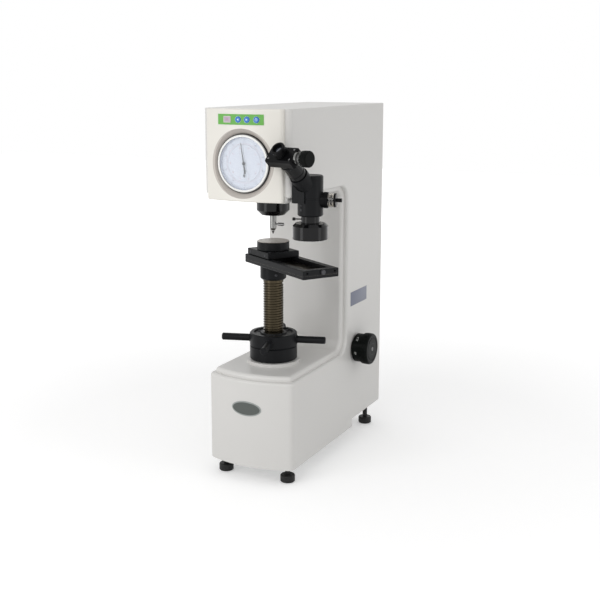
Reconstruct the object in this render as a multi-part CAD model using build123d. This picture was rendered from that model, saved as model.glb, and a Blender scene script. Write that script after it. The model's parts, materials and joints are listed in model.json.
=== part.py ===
from build123d import *

import os
from math import cos, radians, sin, sqrt

# A bench hardness tester for Brinell, Rockwell and Vickers tests, in millimetres.
# It is modelled about its loading axis, the upright line through anvil and indenter,
# with +Z up, +Y towards its back and +X to its right, and the floor at Z = 0.
# The saved parts are then moved so that the origin is the middle of its floor area.

# ---- driving dimensions ------------------------------------------------------------------
LOADING_AXIS_X = -35.8  # where the loading axis stands in the saved parts
LOADING_AXIS_Y = -83.6

CLEARANCE = 0.3  # gap between pieces that move against each other
FIT = 0.1  # gap between pieces that are assembled and stay still
RUNNING_FIT = 0.05  # gap between a shaft and its bearing
WALL = 9.0  # casting wall

# casting
BODY_HALF_WIDTH = 89.0
BASE_CORNER_Y = -94.0  # front corners of the base
BASE_BOW = 19.0  # how far the front bulges past its corners
BASE_CORNER_RADIUS = 12.0
BASE_BOTTOM_Z = 31.0
SIDE_TOP_Z = 200.0  # top of the base's side walls
LINER_STEP = 10.0  # height of the raised moulding round the throat
LINER_INSET = 8.0  # how far the moulding stands in from the sides
LINER_ROUNDING = 7.0
SIDE_ROUNDING = 5.0
REAR_STEP_REACH = 43.0  # where the underside steps up, behind the column's front
REAR_STEP_HEIGHT = 17.0
BACK_Y = 334.0
COLUMN_FRONT_Y = 141.0
HEAD_HEIGHT = 167.0
HEAD_OVERHANG = 10.0  # how far the head stands out past the base's corners
HEAD_CORNER_RADIUS = 11.0
TOP_Z = 700.0
THROAT_RADIUS = 20.0  # inner corners of the throat
FLOOR = 20.0  # thickness of the platform, the head's floor and the column's front
BOTTOM_RIM = 4.0
BOTTOM_OPENING_SIDE = 19.0
BOTTOM_OPENING_FRONT = 42.0
BOTTOM_OPENING_REAR = 19.0
BACK_RAIL = 10.0  # strip of casting left over the rear opening

# sheet covers
TOP_COVER = 3.0
COVER_SHEET = 2.0
COVER_MARGIN = 5.0
COVER_LIP = 3.0

# head cover
HEAD_COVER_SIDE = 11.0  # how far the cover stands in from the sides
HEAD_COVER_DEPTH = 8.0
HEAD_COVER_BOW = 10.0
HEAD_COVER_RADIUS = 7.0
HEAD_COVER_RISE = 2.0
HEAD_COVER_WALL = 4.0
HEAD_COVER_ROUNDING = 2.5

# dial gauge
DIAL_DROP = 97.0  # from the machine's top to the dial's centre
DISH_OUTER_RADIUS = 62.5  # dished ring round the dial
DISH_INNER_RADIUS = 53.5
DISH_DEPTH = 10.0
BEZEL_RADIUS = 52.0
BEZEL_RIM = 2.3
BEZEL_REACH = 5.0
DIAL_GLASS = 1.5
DIAL_FACE = 1.5
DIAL_FACE_DEPTH = 6.5  # from the bezel's front to the dial face
GAUGE_CASE_RADIUS = 49.0
GAUGE_CASE_DEPTH = 32.0  # how far the gauge reaches in behind the head's front
GAUGE_BOSS_RADIUS = 30.0
GAUGE_BOSS = 10.0
NEEDLE_STAFF_END = 4.0  # metal left behind the staffs' ends
DIAL_CENTRE_RADIUS = 33.0  # fixed middle of the dial; the scale ring round it turns
DIAL_SPACER = 2.0
NEEDLE_TIP = 37.0
NEEDLE_TAIL = 18.0
NEEDLE_WIDTH = 2.6
NEEDLE_THICKNESS = 0.8
NEEDLE_ANGLE = 9.0
NEEDLE_GAP = 0.6
NEEDLE_STAFF_RADIUS = 2.0
SHORT_NEEDLE_TIP = 9.0
SHORT_NEEDLE_DROP = 22.0
SHORT_STAFF_RADIUS = 1.2

# keypad on the head cover
PANEL_LEFT_X = -48.0
PANEL_RIGHT_X = 44.5
PANEL_HEIGHT = 18.5
PANEL_DROP = 9.5
PANEL_THICKNESS = 0.8
WINDOW_X = -28.0
WINDOW_WIDTH = 15.5
WINDOW_HEIGHT = 11.5
KEY_XS = (-5.0, 12.5, 31.0)
KEY_RADIUS = 5.3
KEY_LENGTH = 7.0
KEY_PROUD = 1.4

# spindle and indenter
SPINDLE_CAP_RADIUS = 31.5
SPINDLE_CAP_HEIGHT = 35.0
SPINDLE_CAP_CHAMFER = 9.0
SPINDLE_CAP_WALL = 6.0
SPINDLE_RADIUS = 12.0
SPINDLE_RISE = 100.0  # how far the spindle reaches up into the head
SPINDLE_SHOULDER_RISE = 8.0
SPINDLE_POINT = 5.0  # taper that lets the lever tilt on the spindle
SPINDLE_POINT_RADIUS = 5.0
NOSE_RADIUS = 6.3
NOSE_LENGTH = 30.0
NOSE_CONE = 4.0
BUSH_RADIUS = 22.0
BUSH_FLANGE_RADIUS = 30.0
BUSH_FLANGE = 5.0
BUSH_RISE = 67.0
INDENTER_SHANK_RADIUS = 3.2
INDENTER_SHANK = 24.0  # length of the indenter inside the nose
INDENTER_REACH = 7.0
INDENTER_TIP_RADIUS = 0.6
CLAMP_SCREW_RISE = 12.0
CLAMP_SCREW_RADIUS = 2.0
CLAMP_HEAD_RADIUS = 3.0
CLAMP_NECK = 4.7
CLAMP_HEAD = 12.0

# loading lever, weights and buffer
FULCRUM_Y = -26.0
FULCRUM_RISE = 23.0  # height of the fulcrum over the spindle's top
FULCRUM_RADIUS = 6.0
FULCRUM_SEAT = 4.0  # depth of its seats in the side walls
LEVER_HALF_THICKNESS = 11.0
LEVER_FRONT_DEPTH = 44.0
LEVER_REAR_DEPTH = 24.0
LEVER_NOSE = 20.0
LEVER_TAIL = 22.0
LEVER_DEEP_END_Y = 50.0  # where the lever starts to taper
LEVER_TAPER = 70.0
PIN_RISE = 12.0  # height of the hanger and buffer pins over the lever's underside
LOOSE = 1.0  # play of those pins in the lever
FORK_STRAP = 3.5
FORK_HALF_DEPTH = 9.0
FORK_BRIDGE = 8.0
FORK_DROP = 4.0
HANGER_REACH = 66.0  # behind the buffer
HANGER_PIN_RADIUS = 4.0
HANGER_ROD_RADIUS = 6.0
HANGER_PLATE = 6.0
HANGER_PLATE_RISE = 46.0  # over the load selector
HANGER_PLATE_RADIUS = 40.0
WEIGHT_RADIUS = 58.0
WEIGHT_HEIGHTS = (40.0, 40.0, 28.0)
WEIGHT_GROOVE = 2.0
WEIGHT_GROOVE_DEPTH = 3.0
BUFFER_REACH = 55.0  # behind the column's front
BUFFER_RADIUS = 22.0
BUFFER_WALL = 3.0
BUFFER_HEADROOM = 60.0  # between the weights and the buffer
BUFFER_HEIGHT = 110.0
BUFFER_ROD_RADIUS = 4.0
BUFFER_PISTON_RISE = 50.0
BUFFER_PISTON = 14.0
BUFFER_LUG_HALF_WIDTH = 16.0

# load selector on the right side
SELECTOR_REACH = 59.0  # behind the column's front
SELECTOR_SHAFT_RADIUS = 8.0
SELECTOR_BUSH_RADIUS = 16.0
SELECTOR_FLANGE_RADIUS = 24.0
SELECTOR_FLANGE = 2.0
KNOB_RING_RADIUS = 29.5
KNOB_RING_LENGTH = 18.0
KNOB_RADIUS = 32.0
KNOB_LENGTH = 17.0
KNOB_EDGE = 3.0
KNOB_GROOVE = 1.5
CAM_RADIUS = 26.0
CAM_OFFSET = 10.0
CAM_WIDTH = 20.0
CAM_START_X = 40.0
SELECTOR_SHAFT_START_X = 30.0

# motor and power supply inside the base
MOTOR_X = 8.0
MOTOR_REACH = 62.0  # in from the back
MOTOR_RADIUS = 26.0
MOTOR_LENGTH = 56.0
GEARBOX_SIZE = (60.0, 54.0, 66.0)
MOTOR_SHAFT_RADIUS = 4.0
MOTOR_SHAFT = 12.0
SUPPLY_SIZE = (110.0, 60.0, 55.0)
SUPPLY_Y = 96.0

# lifting screw and handwheel
SCREW_RADIUS = 19.5
SCREW_TAIL = 8.0  # how far the screw stands out under its guide
HUB_HEIGHT = 30.0
SCREW_TOP_RADIUS = 14.0
KEYWAY_WIDTH = 6.0
KEYWAY_DEPTH = 3.0
GUIDE_RADIUS = 28.0
GUIDE_LENGTH = 60.0
GUIDE_BOSS_RADIUS = 38.0
WHEEL_BOSS_RADIUS = 51.0
WHEEL_BOSS_HEIGHT = 6.0
THRUST_RADIUS = 42.0
THRUST_HEIGHT = 6.0
WHEEL_RADIUS = 46.0
WHEEL_HEIGHT = 52.4
WHEEL_GROOVE_RISE = 26.4
WHEEL_GROOVE = 1.5
WHEEL_RECESS_INNER = 25.0
WHEEL_RECESS_OUTER = 38.0
WHEEL_RECESS_DEPTH = 3.0
WHEEL_EDGE = 2.0
ROD_COUNT = 4
ROD_FIRST_ANGLE = 17.0
ROD_RADIUS = 7.0
ROD_TIP = 102.0
ROD_ROOT = 30.0
ROD_DROP = 14.0
ROD_EDGE = 1.5

# stage: a rail on the screw, a table that slides along it, and the anvil
RAIL_BEARING = -32.5  # direction of the rail, seen from above, from +X
RAIL_START = -44.0
RAIL_END = 171.0
RAIL_HALF_WIDTH = 37.5
RAIL_HEIGHT = 16.0
TABLE_HEIGHT = 12.0
SLOT_FLOOR = 6.0  # metal left under the slot
SLOT_TOP_HALF_WIDTH = 24.0
SLOT_BOTTOM_HALF_WIDTH = 29.0
SLOT_END_WALL = 13.0
RAIL_EDGE = 1.0
HUB_RADIUS = 25.0
HUB_CHAMFER = 3.0
STOP_SCREW_RADIUS = 2.5
STOP_HEAD_RADIUS = 4.5
STOP_HEAD = 4.0
STOP_SCREW_V = 3.0
SET_SCREW_V = 29.0
SET_SCREW_RADIUS = 2.0
SET_SCREW_DEPTH = 5.0
TABLE_HALF_LENGTH = 40.0
TABLE_HALF_WIDTH = 34.0
ANVIL_HEIGHT = 17.0
TONGUE_START = -38.0
TONGUE_END = 20.0
ANVIL_RADIUS = 31.0
ANVIL_GAP = 13.0  # from the anvil to the indenter's tip
ANVIL_EDGE = 1.0
ANVIL_GROOVES = 3
ANVIL_GROOVE = 0.8
SPIGOT_RADIUS = 8.0
SPIGOT_LENGTH = 14.0

# measuring microscope, on the rail's line
SCOPE_REACH = 24.0  # from the casting's side to the microscope's axis
RING_RADIUS = 32.0
RING_RISE = 8.0  # over the indenter's tip
RING_HEIGHT = 29.0
RING_SHOULDER = 5.0
RING_BORE = 21.0
NECK_RADIUS = 17.0
LENS_RADIUS = 12.0
OBJECTIVE_RISE = 5.0
TUBE_RADIUS = 23.0
NECK_HEIGHT = 13.0
TUBE_HEIGHT = 73.0
TUBE_EDGE = 2.0
TUBE_SEAM_RISE = 32.0
TUBE_SEAM = 0.8
SIGHT_BEARING = -104.0  # which way the eyepiece leans, seen from above, from +X
SIGHT_RISE = 42.0
SIGHT_ROOT_RISE = 45.0  # height at which the slanted tube's axis leaves the upright one
SIGHT_RADIUS = 15.0
SIGHT_BORE = 9.0
SIGHT_LENGTH = 84.0
SIGHT_COLLAR_RADIUS = 17.0
SIGHT_COLLAR = 8.0
SIGHT_COLLAR_END = 44.0
BOX_SHIFT = -2.0  # how far the box sits off the tube, to the left
BOX_WIDTH = 62.0
BOX_DEPTH = 34.0
BOX_THICKNESS = 20.0
BOX_CHAMFER = 3.0
EYEPIECE_RADIUS = 12.0
EYEPIECE_LENGTH = 16.0
EYEPIECE_BORE = 8.0
EYEPIECE_CUP = 5.0
EYEPIECE_SPIGOT_RADIUS = 10.0
EYEPIECE_SPIGOT = 8.0
SLEEVE_RADIUS = 9.0
SLEEVE_LENGTH = 18.0
SLEEVE_COLLAR_RADIUS = 11.5
SLEEVE_COLLAR = 4.0
DRUM_RADIUS = 14.0
DRUM_LENGTH = 17.0
DRUM_OVERLAP = 7.0
DRUM_EDGE = 1.5
BRACKET_RISE = 24.0
BRACKET_HEIGHT = 41.0
BRACKET_FRONT = 26.0
BRACKET_BACK = 24.0
LAMP_RISE = 29.0
LAMP_BEARING = 15.0
LAMP_CORE_RADIUS = 4.0
LAMP_CAP = 4.0
LAMP_COLLAR_RADIUS = 14.0
LAMP_COLLAR_LENGTH = 10.0
LAMP_CLEAR_RADIUS = 12.5
LAMP_CLEAR_LENGTH = 10.0
LAMP_CLEAR_WALL = 2.0
LAMP_ROD_RADIUS = 3.5
LAMP_ROD_LENGTH = 10.0

# feet
FOOT_RADIUS = 14.0
FOOT_HEIGHT = 14.0
FOOT_EDGE = 2.5
FOOT_STUD_RADIUS = 5.0
FOOT_STUD_DEPTH = 22.0  # how far the stud reaches into the casting
FOOT_BOSS_RADIUS = 17.0
FOOT_BOSS_HEIGHT = 31.0
FOOT_NUT_RADIUS = 9.0
FOOT_NUT = 6.0
FRONT_FOOT_SIDE = 22.0
FRONT_FOOT_REACH = 22.0
REAR_FOOT_SIDE = 21.0
REAR_FOOT_REACH = 28.0

# mains inlet and switch on the back
INLET_SIDE = 49.0  # from the left side to the middle of the inlet
INLET_RISE = 64.0
INLET_WIDTH = 50.0
INLET_HEIGHT = 62.0
INLET_FLANGE = 2.0
INLET_DEPTH = 28.0
SOCKET_WIDTH = 26.0
SOCKET_HEIGHT = 20.0
SOCKET_DROP = 14.0
SOCKET_DEPTH = 16.0
SOCKET_PINS = 3
SOCKET_PIN_SPACING = 7.0
ROCKER_WIDTH = 20.0
ROCKER_HALF_HEIGHT = 6.5
ROCKER_RISE = 17.0
ROCKER_DEPTH = 3.0  # how far the rocker reaches in from its pivot
ROCKER_REACH = 6.0  # how far it reaches out
ROCKER_DIP = 1.5
ROCKER_PROUD = 1.5
ROCKER_PIN_RADIUS = 1.5
ROCKER_PIN_END = 2.0

# ---- places worked out from them -----------------------------------------------------------
PLATFORM_Z = SIDE_TOP_Z + LINER_STEP
CASTING_TOP_Z = TOP_Z - TOP_COVER
CAVITY_HALF_WIDTH = BODY_HALF_WIDTH - WALL
HEAD_BOTTOM_Z = TOP_Z - HEAD_HEIGHT
REAR_STEP_Y = COLUMN_FRONT_Y + REAR_STEP_REACH
REAR_BOTTOM_Z = BASE_BOTTOM_Z + REAR_STEP_HEIGHT
HEAD_FRONT_Y = BASE_CORNER_Y - HEAD_OVERHANG
BOTTOM_OPENING_HALF_WIDTH = BODY_HALF_WIDTH - BOTTOM_OPENING_SIDE
BOTTOM_OPENING_FRONT_Y = BASE_CORNER_Y + BOTTOM_OPENING_FRONT
BOTTOM_OPENING_BACK_Y = REAR_STEP_Y - BOTTOM_OPENING_REAR
HEAD_COVER_HALF_WIDTH = BODY_HALF_WIDTH - HEAD_COVER_SIDE
HEAD_COVER_CORNER_Y = HEAD_FRONT_Y - HEAD_COVER_DEPTH
HEAD_COVER_BOTTOM_Z = HEAD_BOTTOM_Z + HEAD_COVER_RISE
DIAL_Z = TOP_Z - DIAL_DROP
BEZEL_FRONT_Y = HEAD_COVER_CORNER_Y - BEZEL_REACH
DIAL_FACE_Y = BEZEL_FRONT_Y + DIAL_FACE_DEPTH
GAUGE_CASE_BACK_Y = HEAD_FRONT_Y + GAUGE_CASE_DEPTH
PANEL_TOP_Z = TOP_Z - PANEL_DROP
PANEL_BOTTOM_Z = PANEL_TOP_Z - PANEL_HEIGHT
SPINDLE_CAP_BOTTOM_Z = HEAD_BOTTOM_Z - SPINDLE_CAP_HEIGHT
SPINDLE_TOP_Z = HEAD_BOTTOM_Z + SPINDLE_RISE
SPINDLE_SHOULDER_Z = SPINDLE_CAP_BOTTOM_Z + SPINDLE_SHOULDER_RISE
NOSE_BOTTOM_Z = SPINDLE_CAP_BOTTOM_Z - NOSE_LENGTH
BUSH_TOP_Z = HEAD_BOTTOM_Z + BUSH_RISE
INDENTER_SHANK_TOP_Z = NOSE_BOTTOM_Z + INDENTER_SHANK
INDENTER_TIP_Z = NOSE_BOTTOM_Z - INDENTER_REACH
CLAMP_SCREW_Z = NOSE_BOTTOM_Z + CLAMP_SCREW_RISE
CLAMP_HEAD_START_X = NOSE_RADIUS + CLAMP_NECK
CLAMP_HEAD_END_X = CLAMP_HEAD_START_X + CLAMP_HEAD
FULCRUM_Z = SPINDLE_TOP_Z + FULCRUM_RISE
LEVER_NOSE_Y = FULCRUM_Y - LEVER_NOSE
BUFFER_Y = COLUMN_FRONT_Y + BUFFER_REACH
HANGER_Y = BUFFER_Y + HANGER_REACH
LEVER_TAIL_Y = HANGER_Y + LEVER_TAIL
SELECTOR_Z = SIDE_TOP_Z
HANGER_PLATE_Z = SELECTOR_Z + HANGER_PLATE_RISE
WEIGHTS_TOP_Z = HANGER_PLATE_Z + HANGER_PLATE + sum(WEIGHT_HEIGHTS)
BUFFER_BOTTOM_Z = WEIGHTS_TOP_Z + BUFFER_HEADROOM
BUFFER_PISTON_Z = BUFFER_BOTTOM_Z + BUFFER_PISTON_RISE
SELECTOR_Y = COLUMN_FRONT_Y + SELECTOR_REACH
MOTOR_Y = BACK_Y - MOTOR_REACH
GUIDE_BOTTOM_Z = PLATFORM_Z - GUIDE_LENGTH
SCREW_BOTTOM_Z = GUIDE_BOTTOM_Z - SCREW_TAIL
WHEEL_BOTTOM_Z = PLATFORM_Z + WHEEL_BOSS_HEIGHT + 2 * CLEARANCE
WHEEL_TOP_Z = WHEEL_BOTTOM_Z + WHEEL_HEIGHT
WHEEL_GROOVE_Z = WHEEL_BOTTOM_Z + WHEEL_GROOVE_RISE
ROD_Z = WHEEL_TOP_Z - ROD_DROP
ANVIL_TOP_Z = INDENTER_TIP_Z - ANVIL_GAP
TABLE_TOP_Z = ANVIL_TOP_Z - ANVIL_HEIGHT
RAIL_TOP_Z = TABLE_TOP_Z - TABLE_HEIGHT
RAIL_BOTTOM_Z = RAIL_TOP_Z - RAIL_HEIGHT
SCREW_SHOULDER_Z = RAIL_BOTTOM_Z - HUB_HEIGHT
SCOPE_X = BODY_HALF_WIDTH + SCOPE_REACH
RING_BOTTOM_Z = INDENTER_TIP_Z + RING_RISE
RING_TOP_Z = RING_BOTTOM_Z + RING_HEIGHT
OBJECTIVE_BOTTOM_Z = RING_BOTTOM_Z + OBJECTIVE_RISE
TUBE_BOTTOM_Z = RING_TOP_Z + NECK_HEIGHT
TUBE_TOP_Z = TUBE_BOTTOM_Z + TUBE_HEIGHT
TUBE_SEAM_Z = TUBE_BOTTOM_Z + TUBE_SEAM_RISE
SIGHT_ROOT_Z = TUBE_BOTTOM_Z + SIGHT_ROOT_RISE
BRACKET_BOTTOM_Z = TUBE_BOTTOM_Z + BRACKET_RISE
BRACKET_TOP_Z = BRACKET_BOTTOM_Z + BRACKET_HEIGHT
LAMP_Z = TUBE_BOTTOM_Z + LAMP_RISE
FRONT_FOOT_X = BODY_HALF_WIDTH - FRONT_FOOT_SIDE
FRONT_FOOT_Y = BASE_CORNER_Y + FRONT_FOOT_REACH
REAR_FOOT_X = BODY_HALF_WIDTH - REAR_FOOT_SIDE
REAR_FOOT_Y = BACK_Y - REAR_FOOT_REACH
INLET_X = INLET_SIDE - BODY_HALF_WIDTH
INLET_Z = REAR_BOTTOM_Z + INLET_RISE
SCOPE_DISTANCE = SCOPE_X / cos(radians(RAIL_BEARING))
SCOPE_Y = SCOPE_DISTANCE * sin(radians(RAIL_BEARING))
BRACKET_FRONT_Y = SCOPE_Y - BRACKET_FRONT
BRACKET_BACK_Y = SCOPE_Y + BRACKET_BACK
THRUST_TOP_Z = WHEEL_BOTTOM_Z - CLEARANCE
SLOT_FLOOR_Z = RAIL_BOTTOM_Z + SLOT_FLOOR
SLOT_END = RAIL_END - SLOT_END_WALL
KNOB_START_X = BODY_HALF_WIDTH + SELECTOR_FLANGE + CLEARANCE
KNOB_FRONT_X = KNOB_START_X + KNOB_RING_LENGTH
KNOB_END_X = KNOB_FRONT_X + KNOB_LENGTH
LEVER_BOTTOM_Z = SPINDLE_TOP_Z + CLEARANCE
BOW_RADIUS = (HEAD_COVER_HALF_WIDTH**2 + HEAD_COVER_BOW**2) / (2 * HEAD_COVER_BOW)
BOW_CENTRE_Y = HEAD_COVER_CORNER_Y - HEAD_COVER_BOW + BOW_RADIUS
CENTRE_SUPPORT = (Align.CENTER, Align.CENTER, Align.MIN)


# ---- shapes that several parts use -----------------------------------------------------------
def upright(radius, low, high, x=0.0, y=0.0):
    """A round bar along Z."""
    return Pos(x, y, low) * Cylinder(radius, high - low, align=CENTRE_SUPPORT)


def sideways(radius, start_x, end_x, y, z):
    """A round bar along X."""
    bar = Rot(0, 90, 0) * Cylinder(radius, end_x - start_x, align=CENTRE_SUPPORT)
    return Pos(start_x, y, z) * bar


def fore_and_aft(radius, start_y, end_y, x, z):
    """A round bar along Y."""
    bar = Rot(-90, 0, 0) * Cylinder(radius, end_y - start_y, align=CENTRE_SUPPORT)
    return Pos(x, start_y, z) * bar


def block(low, high):
    """A rectangular block between two opposite corners."""
    size = [b - a for a, b in zip(low, high)]
    middle = [(a + b) / 2 for a, b in zip(low, high)]
    return Pos(*middle) * Box(*size)


def turned(points):
    """A turned piece about Z, from its half section as (radius, height) points."""
    return revolve(make_face(Plane.XZ * Polyline(*points, close=True)), Axis.Z)


def bowed_plan(half_width, corner_y, bow, back_y):
    """A rectangle seen from above whose front edge bulges forwards."""
    front = ThreePointArc((-half_width, corner_y), (0, corner_y - bow), (half_width, corner_y))
    rest = Polyline(
        (half_width, corner_y), (half_width, back_y), (-half_width, back_y), (-half_width, corner_y)
    )
    return make_face(front + rest)


def bowed_block(half_width, corner_y, bow, back_y, low, high):
    """An upright block with a bowed front."""
    return extrude(Pos(0, 0, low) * bowed_plan(half_width, corner_y, bow, back_y), high - low)


def front_corners(solid):
    """The two upright edges nearest the front."""
    return solid.edges().filter_by(Axis.Z).sort_by(Axis.Y)[:2]


# ---- casting -----------------------------------------------------------------------------
def throat_outline(step):
    """The C-shaped side view of the machine, with its throat opened up by step."""
    low, high = PLATFORM_Z - step, HEAD_BOTTOM_Z + step
    column = COLUMN_FRONT_Y + step
    reach = BASE_CORNER_Y - 2 * BASE_BOW
    outline = make_face(
        Polyline(
            (reach, BASE_BOTTOM_Z),
            (REAR_STEP_Y, BASE_BOTTOM_Z),
            (REAR_STEP_Y, REAR_BOTTOM_Z),
            (BACK_Y, REAR_BOTTOM_Z),
            (BACK_Y, CASTING_TOP_Z),
            (HEAD_FRONT_Y, CASTING_TOP_Z),
            (HEAD_FRONT_Y, high),
            (column, high),
            (column, low),
            (reach, low),
            close=True,
        )
    )
    inner = outline.vertices().group_by(Axis.X)
    corners = [v for group in inner for v in group if abs(v.X - column) < 0.01]
    return fillet(corners, THROAT_RADIUS + step)


def throat_solid(half_width, step, inset, rounding):
    """The C-shaped casting between two side planes, with its throat edges rounded."""
    solid = extrude(Plane.YZ * throat_outline(step), half_width, both=True)
    reach = BASE_CORNER_Y - 3 * BASE_BOW
    front = block((-2 * half_width, reach, 0), (2 * half_width, 0, PLATFORM_Z + 1))
    low, high = PLATFORM_Z - step, HEAD_BOTTOM_Z + step
    solid -= front - bowed_block(
        half_width, BASE_CORNER_Y + inset, BASE_BOW, 1, -1, PLATFORM_Z + 2
    )
    uprights = solid.edges().filter_by(Axis.Z)
    base_edges = [e for e in uprights if e.center().Z < low]
    base_corners = ShapeList(base_edges).sort_by(Axis.Y)[:2]
    solid = fillet(base_corners, BASE_CORNER_RADIUS - inset / 2)
    head_corners = [e for e in solid.edges().filter_by(Axis.Z) if e.center().Y < HEAD_FRONT_Y + 1]
    head_corners = [e for e in head_corners if e.center().Z > high]
    solid = fillet(head_corners, HEAD_CORNER_RADIUS - inset / 2)
    level = solid.edges().filter_by(Axis.X)
    rim = []
    for edge in solid.edges():
        box = edge.bounding_box()
        if edge not in level and box.min.Z > low - 0.01 and box.max.Z < high + 0.01:
            if box.min.Y > HEAD_FRONT_Y + 0.01 or box.max.Z < high - 1:
                rim.append(edge)
    return fillet(rim, rounding)


def inside_of_casting():
    """The hollow of the casting, open at its back, its top and under the base."""
    half = CAVITY_HALF_WIDTH
    base = bowed_block(
        half,
        BASE_CORNER_Y + WALL,
        BASE_BOW,
        REAR_STEP_Y - WALL,
        BASE_BOTTOM_Z + BOTTOM_RIM,
        PLATFORM_Z - FLOOR,
    )
    floor_z = REAR_BOTTOM_Z + WALL
    link = block((-half, 0, floor_z), (half, BACK_Y + 1, PLATFORM_Z - FLOOR))
    column = block(
        (-half, COLUMN_FRONT_Y + FLOOR, floor_z),
        (half, BACK_Y + 1, CASTING_TOP_Z - BACK_RAIL),
    )
    head = block(
        (-half, HEAD_FRONT_Y + WALL, HEAD_BOTTOM_Z + FLOOR),
        (half, BACK_Y - BACK_RAIL, CASTING_TOP_Z + 1),
    )
    opening = block(
        (-BOTTOM_OPENING_HALF_WIDTH, BOTTOM_OPENING_FRONT_Y, 0),
        (BOTTOM_OPENING_HALF_WIDTH, BOTTOM_OPENING_BACK_Y, BASE_BOTTOM_Z + BOTTOM_RIM + 1),
    )
    return base + link + column + head + opening


def foot_places():
    """Name, X, Y and underside height of each foot."""
    return (
        ("front_left", -FRONT_FOOT_X, FRONT_FOOT_Y, BASE_BOTTOM_Z),
        ("front_right", FRONT_FOOT_X, FRONT_FOOT_Y, BASE_BOTTOM_Z),
        ("rear_left", -REAR_FOOT_X, REAR_FOOT_Y, REAR_BOTTOM_Z),
        ("rear_right", REAR_FOOT_X, REAR_FOOT_Y, REAR_BOTTOM_Z),
    )


def make_body_casting():
    skin = throat_solid(BODY_HALF_WIDTH, LINER_STEP, 0, SIDE_ROUNDING)
    liner = throat_solid(BODY_HALF_WIDTH - LINER_INSET, 0, LINER_INSET, LINER_ROUNDING)
    body = skin + liner + upright(WHEEL_BOSS_RADIUS, PLATFORM_Z, PLATFORM_Z + WHEEL_BOSS_HEIGHT)
    body -= inside_of_casting()
    body += upright(GUIDE_BOSS_RADIUS, GUIDE_BOTTOM_Z, PLATFORM_Z - FLOOR)
    for _, x, y, bottom in foot_places():
        body += upright(FOOT_BOSS_RADIUS, bottom, bottom + FOOT_BOSS_HEIGHT, x, y)
    for _, x, y, bottom in foot_places():
        body -= upright(FOOT_STUD_RADIUS + CLEARANCE, bottom - 1, bottom + FOOT_STUD_DEPTH + 1, x, y)
    body -= upright(GUIDE_RADIUS + FIT, GUIDE_BOTTOM_Z - 1, PLATFORM_Z + WHEEL_BOSS_HEIGHT + 1)
    body -= upright(
        THRUST_RADIUS + FIT, THRUST_TOP_Z - THRUST_HEIGHT, PLATFORM_Z + WHEEL_BOSS_HEIGHT + 1
    )
    body -= upright(BUSH_RADIUS + FIT, HEAD_BOTTOM_Z - 1, HEAD_BOTTOM_Z + FLOOR + 1)
    gauge_hole = GAUGE_CASE_RADIUS + FIT
    body -= fore_and_aft(gauge_hole, HEAD_FRONT_Y - 1, HEAD_FRONT_Y + WALL + 1, 0, DIAL_Z)
    bush_hole = SELECTOR_BUSH_RADIUS + FIT
    body -= sideways(bush_hole, CAVITY_HALF_WIDTH - 1, BODY_HALF_WIDTH + 1, SELECTOR_Y, SELECTOR_Z)
    seat = CAVITY_HALF_WIDTH + FULCRUM_SEAT
    body -= sideways(FULCRUM_RADIUS + FIT, -seat, seat, FULCRUM_Y, FULCRUM_Z)
    return body


# ---- covers ------------------------------------------------------------------------------
def make_top_cover():
    plan = Rectangle(2 * BODY_HALF_WIDTH, BACK_Y - HEAD_FRONT_Y)
    plate = extrude(Pos(0, (BACK_Y + HEAD_FRONT_Y) / 2, CASTING_TOP_Z) * plan, TOP_COVER)
    plate = fillet(front_corners(plate), HEAD_CORNER_RADIUS)
    plate = chamfer(plate.faces().sort_by(Axis.Z)[-1].edges(), TOP_COVER / 3)
    half = CAVITY_HALF_WIDTH - FIT
    front, back = HEAD_FRONT_Y + WALL + FIT, BACK_Y - BACK_RAIL - FIT
    lip = block((-half, front, CASTING_TOP_Z - COVER_LIP), (half, back, CASTING_TOP_Z))
    lip -= block(
        (COVER_LIP - half, front + COVER_LIP, 0), (half - COVER_LIP, back - COVER_LIP, TOP_Z)
    )
    return plate + lip


def inlet_hole(margin):
    """The block that the mains inlet fills in the rear cover."""
    half_width = INLET_WIDTH / 2 - COVER_MARGIN + margin
    half_height = INLET_HEIGHT / 2 - COVER_MARGIN + margin
    return block(
        (INLET_X - half_width, BACK_Y + COVER_SHEET - INLET_DEPTH, INLET_Z - half_height),
        (INLET_X + half_width, BACK_Y + COVER_SHEET, INLET_Z + half_height),
    )


def make_rear_cover():
    half = BODY_HALF_WIDTH - COVER_MARGIN
    plate = block(
        (-half, BACK_Y, REAR_BOTTOM_Z + COVER_MARGIN),
        (half, BACK_Y + COVER_SHEET, CASTING_TOP_Z - COVER_MARGIN),
    )
    plate = fillet(plate.edges().filter_by(Axis.Y), COVER_MARGIN)
    return plate - inlet_hole(FIT)


def make_bottom_plate():
    half = BOTTOM_OPENING_HALF_WIDTH + COVER_MARGIN
    front = BOTTOM_OPENING_FRONT_Y
    plate = block(
        (-half, front - COVER_MARGIN, BASE_BOTTOM_Z - COVER_SHEET),
        (half, BOTTOM_OPENING_BACK_Y + COVER_MARGIN, BASE_BOTTOM_Z),
    )
    return fillet(plate.edges().filter_by(Axis.Z), COVER_MARGIN)


def cover_block(grow, low, high, back_y):
    """The head cover's outside, grown or shrunk by grow."""
    solid = bowed_block(
        HEAD_COVER_HALF_WIDTH + grow,
        HEAD_COVER_CORNER_Y - grow,
        HEAD_COVER_BOW,
        back_y,
        low - grow,
        high + grow,
    )
    return fillet(front_corners(solid), HEAD_COVER_RADIUS + grow)


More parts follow.
